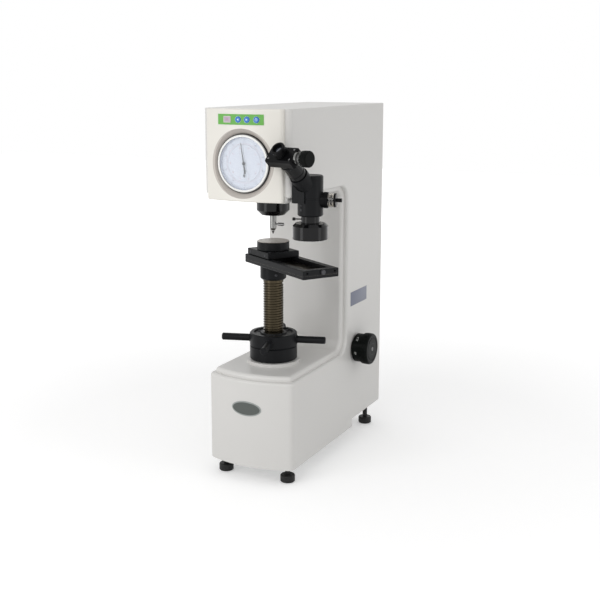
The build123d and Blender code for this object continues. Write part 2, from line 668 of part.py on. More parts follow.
def make_head_cover():
    outside = cover_block(0, HEAD_COVER_BOTTOM_Z, TOP_Z, HEAD_FRONT_Y)
    rims = outside.faces().filter_by(Axis.Z)
    edges = [e for f in rims for e in f.edges() if e.center().Y < HEAD_FRONT_Y - 0.5]
    outside = fillet(edges, HEAD_COVER_ROUNDING)
    inside = cover_block(-HEAD_COVER_WALL, HEAD_COVER_BOTTOM_Z, TOP_Z, HEAD_FRONT_Y + 1)
    dish_back_y = HEAD_COVER_CORNER_Y - HEAD_COVER_BOW + DISH_DEPTH
    ring = fore_and_aft(
        DISH_OUTER_RADIUS + HEAD_COVER_WALL, HEAD_COVER_CORNER_Y * 2, dish_back_y + 3, 0, DIAL_Z
    )
    shell = outside - inside + (ring & outside)
    front_y = HEAD_COVER_CORNER_Y - HEAD_COVER_BOW
    dish = Pos(0, front_y, DIAL_Z) * (
        Rot(-90, 0, 0)
        * Cone(DISH_OUTER_RADIUS, DISH_INNER_RADIUS, DISH_DEPTH, align=CENTRE_SUPPORT)
    )
    shell -= dish + fore_and_aft(DISH_INNER_RADIUS, front_y, HEAD_FRONT_Y + 1, 0, DIAL_Z)
    for x in KEY_XS:
        shell -= fore_and_aft(KEY_RADIUS + CLEARANCE, 2 * front_y, HEAD_FRONT_Y + 1, x, key_z())
    return shell


# ---- dial gauge --------------------------------------------------------------------------
def make_gauge_case():
    back = GAUGE_CASE_BACK_Y
    case = fore_and_aft(GAUGE_CASE_RADIUS, DIAL_FACE_Y + DIAL_FACE + CLEARANCE, back, 0, DIAL_Z)
    boss = fore_and_aft(GAUGE_BOSS_RADIUS, back, back + GAUGE_BOSS, 0, DIAL_Z)
    end = back - NEEDLE_STAFF_END + FIT
    short_z = DIAL_Z - SHORT_NEEDLE_DROP
    holes = fore_and_aft(NEEDLE_STAFF_RADIUS + CLEARANCE, BEZEL_FRONT_Y, end, 0, DIAL_Z)
    holes += fore_and_aft(SHORT_STAFF_RADIUS + CLEARANCE, BEZEL_FRONT_Y, end, 0, short_z)
    return case + boss - holes


def make_dial_bezel():
    back = HEAD_FRONT_Y - CLEARANCE
    ring = fore_and_aft(BEZEL_RADIUS, BEZEL_FRONT_Y, back, 0, DIAL_Z)
    ring = chamfer(ring.edges().sort_by(Axis.Y)[0], BEZEL_RIM / 2)
    face_back = DIAL_FACE_Y + DIAL_FACE
    ring -= fore_and_aft(BEZEL_RADIUS - 2 * BEZEL_RIM, BEZEL_FRONT_Y - 1, back + 1, 0, DIAL_Z)
    room = fore_and_aft(
        GAUGE_CASE_RADIUS + CLEARANCE, face_back, back + 1, 0, DIAL_Z
    )
    seat = fore_and_aft(BEZEL_RADIUS - BEZEL_RIM, BEZEL_FRONT_Y + BEZEL_RIM / 2, back + 1, 0, DIAL_Z)
    return ring - room - seat


def make_dial_glass():
    front = BEZEL_FRONT_Y + BEZEL_RIM / 2
    return fore_and_aft(BEZEL_RADIUS - BEZEL_RIM - FIT, front, front + DIAL_GLASS, 0, DIAL_Z)


def make_dial_face():
    radius = BEZEL_RADIUS - BEZEL_RIM - FIT
    front = BEZEL_FRONT_Y + BEZEL_RIM / 2 + DIAL_GLASS
    face = fore_and_aft(radius, DIAL_FACE_Y, DIAL_FACE_Y + DIAL_FACE, 0, DIAL_Z)
    face -= fore_and_aft(DIAL_CENTRE_RADIUS + CLEARANCE, 2 * front, 0, 0, DIAL_Z)
    spacer = fore_and_aft(radius, front, DIAL_FACE_Y, 0, DIAL_Z)
    return face + spacer - fore_and_aft(radius - DIAL_SPACER, 2 * front, DIAL_FACE_Y, 0, DIAL_Z)


def make_dial_centre():
    back = DIAL_FACE_Y + DIAL_FACE + CLEARANCE
    disc = fore_and_aft(DIAL_CENTRE_RADIUS, DIAL_FACE_Y, back, 0, DIAL_Z)
    disc -= fore_and_aft(NEEDLE_STAFF_RADIUS + CLEARANCE, 2 * back, 0, 0, DIAL_Z)
    short_z = DIAL_Z - SHORT_NEEDLE_DROP
    return disc - fore_and_aft(SHORT_STAFF_RADIUS + CLEARANCE, 2 * back, 0, 0, short_z)


def needle(tip, tail, width, staff_radius, angle, z, front_y):
    """A thin pointer with its round hub and staff, turned about an axis along Y."""
    point = width / 8
    outline = make_face(
        Polyline((-width / 2, -tail), (width / 2, -tail), (point, tip), (-point, tip), close=True)
    )
    blade = Plane.XZ * (Rot(0, 0, angle) * (outline + Circle(staff_radius * 1.5)))
    blade = Pos(0, front_y + NEEDLE_THICKNESS, z) * extrude(blade, NEEDLE_THICKNESS)
    return blade + fore_and_aft(staff_radius, front_y, GAUGE_CASE_BACK_Y - NEEDLE_STAFF_END, 0, z)


def make_long_needle():
    front = BEZEL_FRONT_Y + BEZEL_RIM / 2 + DIAL_GLASS + NEEDLE_GAP
    return needle(NEEDLE_TIP, NEEDLE_TAIL, NEEDLE_WIDTH, NEEDLE_STAFF_RADIUS, NEEDLE_ANGLE, DIAL_Z, front)


def make_short_needle():
    front = DIAL_FACE_Y - NEEDLE_GAP - NEEDLE_THICKNESS
    z = DIAL_Z - SHORT_NEEDLE_DROP
    tail = SHORT_NEEDLE_TIP / 3
    return needle(SHORT_NEEDLE_TIP, tail, NEEDLE_WIDTH / 2, SHORT_STAFF_RADIUS, 0, z, front)


def key_z():
    return (PANEL_BOTTOM_Z + PANEL_TOP_Z) / 2


def cover_front_y(x):
    """How far forward the head cover's bowed front lies at x."""
    return BOW_CENTRE_Y - sqrt(BOW_RADIUS**2 - x**2)


def make_control_panel():
    high, low = PANEL_TOP_Z, PANEL_BOTTOM_Z
    skin = upright(BOW_RADIUS + PANEL_THICKNESS, low, high, 0, BOW_CENTRE_Y)
    skin -= upright(BOW_RADIUS + FIT, low - 1, high + 1, 0, BOW_CENTRE_Y)
    panel = skin & block((PANEL_LEFT_X, 2 * HEAD_FRONT_Y, low - 1), (PANEL_RIGHT_X, HEAD_FRONT_Y, high + 1))
    for x in KEY_XS:
        panel -= fore_and_aft(KEY_RADIUS + CLEARANCE, 2 * HEAD_FRONT_Y, HEAD_FRONT_Y, x, key_z())
    return panel


def make_display_window():
    high, low = key_z() + WINDOW_HEIGHT / 2, key_z() - WINDOW_HEIGHT / 2
    inner = BOW_RADIUS + PANEL_THICKNESS
    skin = upright(inner + PANEL_THICKNESS / 2, low, high, 0, BOW_CENTRE_Y)
    skin -= upright(inner + FIT, low - 1, high + 1, 0, BOW_CENTRE_Y)
    left, right = WINDOW_X - WINDOW_WIDTH / 2, WINDOW_X + WINDOW_WIDTH / 2
    return skin & block((left, 2 * HEAD_FRONT_Y, low - 1), (right, HEAD_FRONT_Y, high + 1))


def make_key(x):
    front = cover_front_y(x) - PANEL_THICKNESS - KEY_PROUD
    key = fore_and_aft(KEY_RADIUS, front, front + KEY_LENGTH, x, key_z())
    return chamfer(key.edges().sort_by(Axis.Y)[0], PANEL_THICKNESS / 2)


# ---- spindle, indenter and loading gear ------------------------------------------------------
def make_spindle_cap():
    low, high, outer = SPINDLE_CAP_BOTTOM_Z, HEAD_BOTTOM_Z, SPINDLE_CAP_RADIUS
    inner, slope = outer - SPINDLE_CAP_WALL, SPINDLE_CAP_CHAMFER
    hole = NOSE_RADIUS + LOOSE
    return turned(
        [
            (hole, low),
            (outer - slope, low),
            (outer, low + slope),
            (outer, high),
            (inner, high),
            (inner, low + slope),
            (inner - slope / 2, low + SPINDLE_CAP_WALL),
            (hole, low + SPINDLE_CAP_WALL),
        ]
    )


def make_spindle_bush():
    floor_top = HEAD_BOTTOM_Z + FLOOR
    bush = upright(BUSH_RADIUS, HEAD_BOTTOM_Z + FIT, BUSH_TOP_Z)
    bush += upright(BUSH_FLANGE_RADIUS, floor_top, floor_top + BUSH_FLANGE)
    return bush - upright(SPINDLE_RADIUS + RUNNING_FIT, 0, TOP_Z)


def make_spindle():
    shank = INDENTER_SHANK_RADIUS + FIT
    spindle = turned(
        [
            (shank, NOSE_BOTTOM_Z),
            (shank + NOSE_CONE / 4, NOSE_BOTTOM_Z),
            (NOSE_RADIUS, NOSE_BOTTOM_Z + NOSE_CONE),
            (NOSE_RADIUS, SPINDLE_SHOULDER_Z),
            (SPINDLE_RADIUS, SPINDLE_SHOULDER_Z + NOSE_CONE),
            (SPINDLE_RADIUS, SPINDLE_TOP_Z - SPINDLE_POINT),
            (SPINDLE_POINT_RADIUS, SPINDLE_TOP_Z),
            (0, SPINDLE_TOP_Z),
            (0, INDENTER_SHANK_TOP_Z + FIT),
            (shank, INDENTER_SHANK_TOP_Z + FIT),
        ]
    )
    return spindle - sideways(CLAMP_SCREW_RADIUS + FIT, 0, NOSE_RADIUS * 2, 0, CLAMP_SCREW_Z)


def make_indenter():
    shank = INDENTER_SHANK_RADIUS
    cone_top = INDENTER_TIP_Z + shank * 1.6
    points = [
        (0, INDENTER_TIP_Z),
        (INDENTER_TIP_RADIUS, INDENTER_TIP_Z),
        (shank, cone_top),
        (shank, INDENTER_SHANK_TOP_Z),
        (0, INDENTER_SHANK_TOP_Z),
    ]
    return turned(points)


def make_indenter_screw():
    start = INDENTER_SHANK_RADIUS + CLEARANCE
    screw = sideways(CLAMP_SCREW_RADIUS, start, CLAMP_HEAD_END_X, 0, CLAMP_SCREW_Z)
    head = sideways(CLAMP_HEAD_RADIUS, CLAMP_HEAD_START_X, CLAMP_HEAD_END_X, 0, CLAMP_SCREW_Z)
    return screw + chamfer(head.edges().sort_by(Axis.X)[-1], CLAMP_HEAD_RADIUS / 4)


def make_fulcrum_pin():
    reach = CAVITY_HALF_WIDTH + FULCRUM_SEAT - FIT
    return sideways(FULCRUM_RADIUS, -reach, reach, FULCRUM_Y, FULCRUM_Z)


def pin_z():
    return LEVER_BOTTOM_Z + PIN_RISE


def make_load_lever():
    low = LEVER_BOTTOM_Z
    taper_end = LEVER_DEEP_END_Y + LEVER_TAPER
    side = make_face(
        Polyline(
            (LEVER_NOSE_Y, low),
            (LEVER_TAIL_Y, low),
            (LEVER_TAIL_Y, low + LEVER_REAR_DEPTH),
            (taper_end, low + LEVER_REAR_DEPTH),
            (LEVER_DEEP_END_Y, low + LEVER_FRONT_DEPTH),
            (LEVER_NOSE_Y, low + LEVER_FRONT_DEPTH),
            close=True,
        )
    )
    lever = extrude(Plane.YZ * side, LEVER_HALF_THICKNESS, both=True)
    half = 2 * LEVER_HALF_THICKNESS
    lever -= sideways(FULCRUM_RADIUS + RUNNING_FIT, -half, half, FULCRUM_Y, FULCRUM_Z)
    for y in (HANGER_Y, BUFFER_Y):
        lever -= sideways(HANGER_PIN_RADIUS + LOOSE, -half, half, y, pin_z())
    return lever


def fork(y):
    """A fork round the lever with its cross pin, standing on a bridge below the lever."""
    inner = LEVER_HALF_THICKNESS + LOOSE
    outer = inner + FORK_STRAP
    top = pin_z() + FORK_HALF_DEPTH
    bridge_top = LEVER_BOTTOM_Z - FORK_DROP
    piece = block(
        (-outer, y - FORK_HALF_DEPTH, bridge_top - FORK_BRIDGE), (outer, y + FORK_HALF_DEPTH, top)
    )
    piece -= block(
        (-inner, y - 2 * FORK_HALF_DEPTH, bridge_top), (inner, y + 2 * FORK_HALF_DEPTH, top + 1)
    )
    return piece + sideways(HANGER_PIN_RADIUS, -outer, outer, y, pin_z())


def make_weight_hanger():
    rod_top = LEVER_BOTTOM_Z - FORK_DROP - 1
    hanger = fork(HANGER_Y) + upright(HANGER_ROD_RADIUS, HANGER_PLATE_Z, rod_top, 0, HANGER_Y)
    top = HANGER_PLATE_Z + HANGER_PLATE
    return hanger + upright(HANGER_PLATE_RADIUS, HANGER_PLATE_Z, top, 0, HANGER_Y)


def make_weights():
    base = HANGER_PLATE_Z + HANGER_PLATE
    stack = upright(WEIGHT_RADIUS, base, base + sum(WEIGHT_HEIGHTS), 0, HANGER_Y)
    level = base
    for height in WEIGHT_HEIGHTS[:-1]:
        level += height
        groove = upright(WEIGHT_RADIUS + 1, level, level + WEIGHT_GROOVE, 0, HANGER_Y)
        inner = WEIGHT_RADIUS - WEIGHT_GROOVE_DEPTH
        stack -= groove - upright(inner, level, level + WEIGHT_GROOVE, 0, HANGER_Y)
    return stack - upright(HANGER_ROD_RADIUS + FIT, 0, TOP_Z, 0, HANGER_Y)


def make_dashpot_cylinder():
    low, high = BUFFER_BOTTOM_Z, BUFFER_BOTTOM_Z + BUFFER_HEIGHT
    wall_y = COLUMN_FRONT_Y + FLOOR
    lug = block(
        (-BUFFER_LUG_HALF_WIDTH, wall_y, low + BUFFER_RADIUS / 2),
        (BUFFER_LUG_HALF_WIDTH, BUFFER_Y, high - BUFFER_RADIUS / 2),
    )
    pot = upright(BUFFER_RADIUS, low, high, 0, BUFFER_Y) + lug
    return pot - upright(BUFFER_RADIUS - BUFFER_WALL, low + BUFFER_WALL, high + 1, 0, BUFFER_Y)


def make_dashpot_rod():
    rod_top = LEVER_BOTTOM_Z - FORK_DROP - 1
    rod = fork(BUFFER_Y) + upright(BUFFER_ROD_RADIUS, BUFFER_PISTON_Z, rod_top, 0, BUFFER_Y)
    piston = BUFFER_RADIUS - BUFFER_WALL - CLEARANCE
    top = BUFFER_PISTON_Z + BUFFER_PISTON
    return rod + upright(piston, BUFFER_PISTON_Z, top, 0, BUFFER_Y)


# ---- load selector, motor and power supply ---------------------------------------------------
def make_selector_bush():
    flange_end = BODY_HALF_WIDTH + SELECTOR_FLANGE
    start = CAVITY_HALF_WIDTH
    bush = sideways(SELECTOR_BUSH_RADIUS, start, flange_end, SELECTOR_Y, SELECTOR_Z)
    bush += sideways(SELECTOR_FLANGE_RADIUS, BODY_HALF_WIDTH, flange_end, SELECTOR_Y, SELECTOR_Z)
    bore = SELECTOR_SHAFT_RADIUS + RUNNING_FIT
    return bush - sideways(bore, 0, 2 * flange_end, SELECTOR_Y, SELECTOR_Z)


def make_selector_shaft():
    end = KNOB_END_X - KNOB_EDGE
    shaft = sideways(SELECTOR_SHAFT_RADIUS, SELECTOR_SHAFT_START_X, end, SELECTOR_Y, SELECTOR_Z)
    cam_end = CAM_START_X + CAM_WIDTH
    cam_y = SELECTOR_Y - CAM_OFFSET
    return shaft + sideways(CAM_RADIUS, CAM_START_X, cam_end, cam_y, SELECTOR_Z)


def make_knob_number_ring():
    ring = sideways(KNOB_RING_RADIUS, KNOB_START_X, KNOB_FRONT_X, SELECTOR_Y, SELECTOR_Z)
    ring = chamfer(ring.edges().sort_by(Axis.X)[0], KNOB_EDGE / 2)
    return ring - sideways(SELECTOR_SHAFT_RADIUS + FIT, 0, KNOB_END_X, SELECTOR_Y, SELECTOR_Z)


def make_load_knob():
    knob = sideways(KNOB_RADIUS, KNOB_FRONT_X, KNOB_END_X, SELECTOR_Y, SELECTOR_Z)
    rims = knob.edges().filter_by(GeomType.CIRCLE).sort_by(Axis.X)
    knob = fillet(rims[-1], KNOB_EDGE)
    dish = KNOB_RADIUS - 2 * KNOB_EDGE
    ring = sideways(dish, KNOB_END_X - KNOB_GROOVE, KNOB_END_X + 1, SELECTOR_Y, SELECTOR_Z)
    knob -= ring - sideways(dish - KNOB_EDGE, 0, 2 * KNOB_END_X, SELECTOR_Y, SELECTOR_Z)
    bore = SELECTOR_SHAFT_RADIUS + FIT
    return knob - sideways(bore, 0, KNOB_END_X - KNOB_EDGE + FIT, SELECTOR_Y, SELECTOR_Z)


def make_loading_motor():
    low = REAR_BOTTOM_Z + WALL
    width, depth, height = GEARBOX_SIZE
    box = Pos(MOTOR_X, MOTOR_Y, low) * Box(width, depth, height, align=CENTRE_SUPPORT)
    box = chamfer(box.edges().filter_by(Axis.Z), KNOB_EDGE)
    top = low + height + MOTOR_LENGTH
    can = upright(MOTOR_RADIUS, low + height - 1, top, MOTOR_X, MOTOR_Y)
    shaft = upright(MOTOR_SHAFT_RADIUS, top - 1, top + MOTOR_SHAFT, MOTOR_X, MOTOR_Y)
    return box + can + shaft


def make_power_supply():
    width, depth, height = SUPPLY_SIZE
    box = Pos(0, SUPPLY_Y, BASE_BOTTOM_Z) * Box(width, depth, height, align=CENTRE_SUPPORT)
    return chamfer(box.edges().filter_by(Axis.Z), KNOB_EDGE)


# ---- lifting screw and handwheel ---------------------------------------------------------------
def keyway_block(width, inner, outer, low, high):
    """The strip along the back of the screw that its key runs in."""
    return block((-width / 2, inner, low), (width / 2, outer, high))


def make_screw_guide():
    top = PLATFORM_Z - FIT
    sleeve = upright(GUIDE_RADIUS, GUIDE_BOTTOM_Z, top)
    sleeve -= upright(SCREW_RADIUS + RUNNING_FIT, 0, TOP_Z)
    floor = SCREW_RADIUS - KEYWAY_DEPTH + CLEARANCE
    width = KEYWAY_WIDTH - 2 * CLEARANCE
    return sleeve + keyway_block(width, floor, GUIDE_RADIUS - 1, GUIDE_BOTTOM_Z, top)


def make_thrust_bearing():
    ring = upright(THRUST_RADIUS, THRUST_TOP_Z - THRUST_HEIGHT, THRUST_TOP_Z)
    return ring - upright(SCREW_RADIUS + LOOSE, 0, TOP_Z)


def make_lifting_screw():
    screw = upright(SCREW_RADIUS, SCREW_BOTTOM_Z, SCREW_SHOULDER_Z)
    screw = chamfer(screw.edges().sort_by(Axis.Z)[0], WHEEL_EDGE)
    screw += upright(SCREW_TOP_RADIUS, SCREW_SHOULDER_Z - 1, RAIL_BOTTOM_Z - FIT)
    keyway_top = SCREW_SHOULDER_Z - SCREW_RADIUS
    inner = SCREW_RADIUS - KEYWAY_DEPTH
    return screw - keyway_block(KEYWAY_WIDTH, inner, 2 * SCREW_RADIUS, 0, keyway_top)


def make_handwheel():
    low, high = WHEEL_BOTTOM_Z, WHEEL_TOP_Z
    radius, bore, edge = WHEEL_RADIUS, SCREW_RADIUS + CLEARANCE, WHEEL_EDGE
    half_groove = WHEEL_GROOVE
    wheel = turned(
        [
            (bore, low),
            (radius - edge, low),
            (radius, low + edge),
            (radius, WHEEL_GROOVE_Z - half_groove),
            (radius - WHEEL_GROOVE, WHEEL_GROOVE_Z),
            (radius, WHEEL_GROOVE_Z + half_groove),
            (radius, high - edge),
            (radius - edge, high),
            (WHEEL_RECESS_OUTER, high),
            (WHEEL_RECESS_OUTER - 1, high - WHEEL_RECESS_DEPTH),
            (WHEEL_RECESS_INNER + 1, high - WHEEL_RECESS_DEPTH),
            (WHEEL_RECESS_INNER, high),
            (bore, high),
        ]
    )
    for n in range(ROD_COUNT):
        hole = sideways(ROD_RADIUS + FIT, ROD_ROOT - FIT, ROD_TIP, 0, ROD_Z)
        wheel -= Rot(0, 0, ROD_FIRST_ANGLE + 360 / ROD_COUNT * n) * hole
    return wheel


def make_handwheel_rods():
    rod = sideways(ROD_RADIUS, ROD_ROOT, ROD_TIP, 0, ROD_Z)
    rod = chamfer(rod.edges().filter_by(GeomType.CIRCLE).sort_by(Axis.X)[-1], ROD_EDGE)
    turns = [ROD_FIRST_ANGLE + 360 / ROD_COUNT * n for n in range(ROD_COUNT)]
    return Compound([Rot(0, 0, turn) * rod for turn in turns])


# ---- stage ---------------------------------------------------------------------------------
def along_rail(shape):
    """Turn a shape drawn along X into the rail's direction."""
    return Rot(0, 0, RAIL_BEARING) * shape


def slot_profile(gap, low, high):
    """The undercut slot's cross section between two heights, shrunk by gap."""
    rise = RAIL_TOP_Z - SLOT_FLOOR_Z
    slope = (SLOT_BOTTOM_HALF_WIDTH - SLOT_TOP_HALF_WIDTH) / rise
    wide = SLOT_BOTTOM_HALF_WIDTH - gap - slope * (low - SLOT_FLOOR_Z)
    narrow = SLOT_BOTTOM_HALF_WIDTH - gap - slope * (high - SLOT_FLOOR_Z)
    points = ((-wide, low), (wide, low), (narrow, high), (-narrow, high))
    return Plane.YZ * make_face(Polyline(*points, close=True))


def make_rail_bed():
    bed = block(
        (RAIL_START, -RAIL_HALF_WIDTH, RAIL_BOTTOM_Z), (RAIL_END, RAIL_HALF_WIDTH, RAIL_TOP_Z)
    )
    bed = chamfer(bed.edges(), RAIL_EDGE)
    slot = slot_profile(0, SLOT_FLOOR_Z, RAIL_TOP_Z + 1)
    bed -= Pos(RAIL_START - 1, 0, 0) * extrude(slot, SLOT_END - RAIL_START + 1)
    hub = upright(HUB_RADIUS, SCREW_SHOULDER_Z + FIT, RAIL_BOTTOM_Z + 1)
    hub = chamfer(hub.edges().sort_by(Axis.Z)[0], HUB_CHAMFER)
    bed += hub - upright(SCREW_TOP_RADIUS + FIT, 0, RAIL_BOTTOM_Z)
    screw_z = (SLOT_FLOOR_Z + RAIL_TOP_Z) / 2
    start = SLOT_END - 1
    bed -= sideways(STOP_SCREW_RADIUS + FIT, start, RAIL_END + 1, STOP_SCREW_V, screw_z)
    for v in (-SET_SCREW_V, SET_SCREW_V):
        bed -= sideways(SET_SCREW_RADIUS, RAIL_END - SET_SCREW_DEPTH, RAIL_END + 1, v, screw_z)
    return along_rail(bed)


def make_stop_screw():
    screw_z = (SLOT_FLOOR_Z + RAIL_TOP_Z) / 2
    start = SLOT_END - 1
    screw = sideways(STOP_SCREW_RADIUS, start, RAIL_END + 1, STOP_SCREW_V, screw_z)
    head = sideways(STOP_HEAD_RADIUS, RAIL_END, RAIL_END + STOP_HEAD, STOP_SCREW_V, screw_z)
    return along_rail(screw + chamfer(head.edges().sort_by(Axis.X)[-1], STOP_HEAD / 4))


def make_slide_table():
    low = RAIL_TOP_Z + CLEARANCE
    plate = block(
        (-TABLE_HALF_LENGTH, -TABLE_HALF_WIDTH, low), (TABLE_HALF_LENGTH, TABLE_HALF_WIDTH, TABLE_TOP_Z)
    )
    plate = chamfer(plate.edges(), RAIL_EDGE)
    tongue = slot_profile(CLEARANCE, SLOT_FLOOR_Z + CLEARANCE, low + 1)
    plate += Pos(TONGUE_START, 0, 0) * extrude(tongue, TONGUE_END - TONGUE_START)
    bore_low = TABLE_TOP_Z - SPIGOT_LENGTH - FIT
    plate -= upright(SPIGOT_RADIUS + FIT, bore_low, TABLE_TOP_Z + 1)
    return along_rail(plate)


def make_anvil():
    anvil = upright(ANVIL_RADIUS, TABLE_TOP_Z, ANVIL_TOP_Z)
    anvil = chamfer(anvil.edges().filter_by(GeomType.CIRCLE), ANVIL_EDGE)
    anvil += upright(SPIGOT_RADIUS, TABLE_TOP_Z - SPIGOT_LENGTH, TABLE_TOP_Z + 1)
    spacing = ANVIL_RADIUS / (ANVIL_GROOVES + 1)
    for n in range(ANVIL_GROOVES):
        radius = spacing * (n + 1)
        groove = upright(radius + ANVIL_GROOVE, ANVIL_TOP_Z - ANVIL_GROOVE, ANVIL_TOP_Z + 1)
        anvil -= groove - upright(radius, 0, TOP_Z)
    return anvil


# ---- measuring microscope ------------------------------------------------------------------
def sight():
    """The slanted tube's frame: Z along it, X level and to the right."""
    turn, rise = radians(SIGHT_BEARING), radians(SIGHT_RISE)
    direction = (cos(turn) * cos(rise), sin(turn) * cos(rise), sin(rise))
    return Plane((SCOPE_X, SCOPE_Y, SIGHT_ROOT_Z), (-sin(turn), cos(turn), 0), direction).location


def make_objective():
    lens = upright(LENS_RADIUS, OBJECTIVE_BOTTOM_Z, TUBE_BOTTOM_Z, SCOPE_X, SCOPE_Y)
    lens -= upright(LENS_RADIUS / 2, 0, OBJECTIVE_BOTTOM_Z + 2, SCOPE_X, SCOPE_Y)
    return lens + upright(NECK_RADIUS, RING_TOP_Z - RING_SHOULDER, TUBE_BOTTOM_Z, SCOPE_X, SCOPE_Y)


def make_objective_ring():
    low, high, outer, bore = RING_BOTTOM_Z, RING_TOP_Z, RING_RADIUS, NECK_RADIUS + FIT
    shoulder = high - RING_SHOULDER
    ring = turned(
        [
            (RING_BORE, low),
            (outer - 1, low),
            (outer, low + 1),
            (outer, shoulder),
            (outer - RING_SHOULDER, high),
            (bore, high),
            (bore, shoulder - 1),
            (RING_BORE, shoulder - 1),
        ]
    )
    return Pos(SCOPE_X, SCOPE_Y, 0) * ring


def make_body_tube():
    low, high = TUBE_BOTTOM_Z, TUBE_TOP_Z
    tube = upright(TUBE_RADIUS, low, high, SCOPE_X, SCOPE_Y)
    tube = chamfer(tube.edges().filter_by(GeomType.CIRCLE), TUBE_EDGE)
    inner = TUBE_RADIUS - TUBE_SEAM
    seam = upright(TUBE_RADIUS + 1, TUBE_SEAM_Z, TUBE_SEAM_Z + TUBE_SEAM, SCOPE_X, SCOPE_Y)
    tube -= seam - upright(inner, 0, TOP_Z, SCOPE_X, SCOPE_Y)
    tube += sight() * upright(SIGHT_COLLAR_RADIUS, 0, SIGHT_COLLAR_END)
    tube -= upright(LENS_RADIUS, low - 1, SIGHT_ROOT_Z, SCOPE_X, SCOPE_Y)
    tube -= sight() * upright(SIGHT_BORE, 0, SIGHT_COLLAR_END + 1)
    seat = SIGHT_COLLAR_END - SIGHT_COLLAR - FIT
    return tube - sight() * upright(SIGHT_RADIUS + FIT, seat, SIGHT_COLLAR_END + 1)


def make_inclined_tube():
    tube = upright(SIGHT_RADIUS, SIGHT_COLLAR_END - SIGHT_COLLAR, SIGHT_LENGTH)
    return sight() * (tube - upright(SIGHT_BORE, 0, SIGHT_LENGTH + 1))


def head_low():
    return SIGHT_LENGTH + CLEARANCE


def make_micrometer_box():
    low = head_low()
    left = BOX_SHIFT - BOX_WIDTH / 2
    box = block(
        (left, -BOX_DEPTH / 2, low), (left + BOX_WIDTH, BOX_DEPTH / 2, low + BOX_THICKNESS)
    )
    box = chamfer(box.edges(), BOX_CHAMFER)
    box -= upright(SIGHT_BORE, 0, low + BOX_THICKNESS + 1)
    top = low + BOX_THICKNESS
    box -= upright(EYEPIECE_SPIGOT_RADIUS + RUNNING_FIT, top - EYEPIECE_SPIGOT - LOOSE, top + 1)
    return sight() * box


def make_eyepiece():
    low = head_low() + BOX_THICKNESS + CLEARANCE
    high = low + EYEPIECE_LENGTH
    radius, spigot = EYEPIECE_RADIUS, EYEPIECE_SPIGOT_RADIUS
    lens = turned(
        [
            (0, low - EYEPIECE_SPIGOT),
            (spigot, low - EYEPIECE_SPIGOT),
            (spigot, low),
            (radius, low),
            (radius, high - EYEPIECE_CUP),
            (radius + 1, high - EYEPIECE_CUP),
            (radius + 1, high - 1),
            (radius, high),
            (EYEPIECE_BORE + 1, high),
            (EYEPIECE_BORE, high - EYEPIECE_CUP),
            (0, high - EYEPIECE_CUP),
        ]
    )
    return sight() * lens


def drum_height():
    return head_low() + BOX_THICKNESS / 2


def make_micrometer_sleeve():
    start = BOX_SHIFT + BOX_WIDTH / 2
    sleeve = sideways(SLEEVE_RADIUS, start, start + SLEEVE_LENGTH, 0, drum_height())
    collar = sideways(SLEEVE_COLLAR_RADIUS, start, start + SLEEVE_COLLAR, 0, drum_height())
    return sight() * (sleeve + collar)


def make_micrometer_drum():
    start = BOX_SHIFT + BOX_WIDTH / 2 + SLEEVE_LENGTH - DRUM_OVERLAP
    end = start + DRUM_LENGTH
    drum = sideways(DRUM_RADIUS, start, end, 0, drum_height())
    drum = chamfer(drum.edges().filter_by(GeomType.CIRCLE), DRUM_EDGE)
    bore_end = start + DRUM_OVERLAP + CLEARANCE
    return sight() * (drum - sideways(SLEEVE_RADIUS + CLEARANCE, 0, bore_end, 0, drum_height()))


def make_microscope_bracket():
    bracket = block(
        (BODY_HALF_WIDTH, BRACKET_FRONT_Y, BRACKET_BOTTOM_Z),
        (SCOPE_X, BRACKET_BACK_Y, BRACKET_TOP_Z),
    )
    bracket -= upright(TUBE_RADIUS + FIT, 0, TOP_Z, SCOPE_X, SCOPE_Y)
    return bracket - sight() * upright(SIGHT_COLLAR_RADIUS + LOOSE, 0, SIGHT_LENGTH)


def lamp_place(shape):
    """Set a shape drawn along X on the microscope, pointing the lamp's way."""
    return Pos(SCOPE_X, SCOPE_Y, LAMP_Z) * (Rot(0, 0, LAMP_BEARING) * shape)


def make_lamp_house():
    collar_end = TUBE_RADIUS + LAMP_COLLAR_LENGTH
    cap_start = collar_end + LAMP_CLEAR_LENGTH
    cap_end = cap_start + LAMP_CAP
    collar = sideways(LAMP_COLLAR_RADIUS, TUBE_RADIUS / 2, collar_end, 0, 0)
    collar -= upright(TUBE_RADIUS + FIT, -TUBE_RADIUS, TUBE_RADIUS)
    core = sideways(LAMP_CORE_RADIUS, collar_end - 1, cap_start + 1, 0, 0)
    cap = sideways(LAMP_CLEAR_RADIUS, cap_start, cap_end, 0, 0)
    rod = sideways(LAMP_ROD_RADIUS, cap_end - 1, cap_end + LAMP_ROD_LENGTH, 0, 0)
    return lamp_place(collar + core + cap + rod)


def make_lamp_window():
    start = TUBE_RADIUS + LAMP_COLLAR_LENGTH
    end = start + LAMP_CLEAR_LENGTH
    ring = sideways(LAMP_CLEAR_RADIUS, start, end, 0, 0)
    return lamp_place(ring - sideways(LAMP_CLEAR_RADIUS - LAMP_CLEAR_WALL, 0, end + 1, 0, 0))


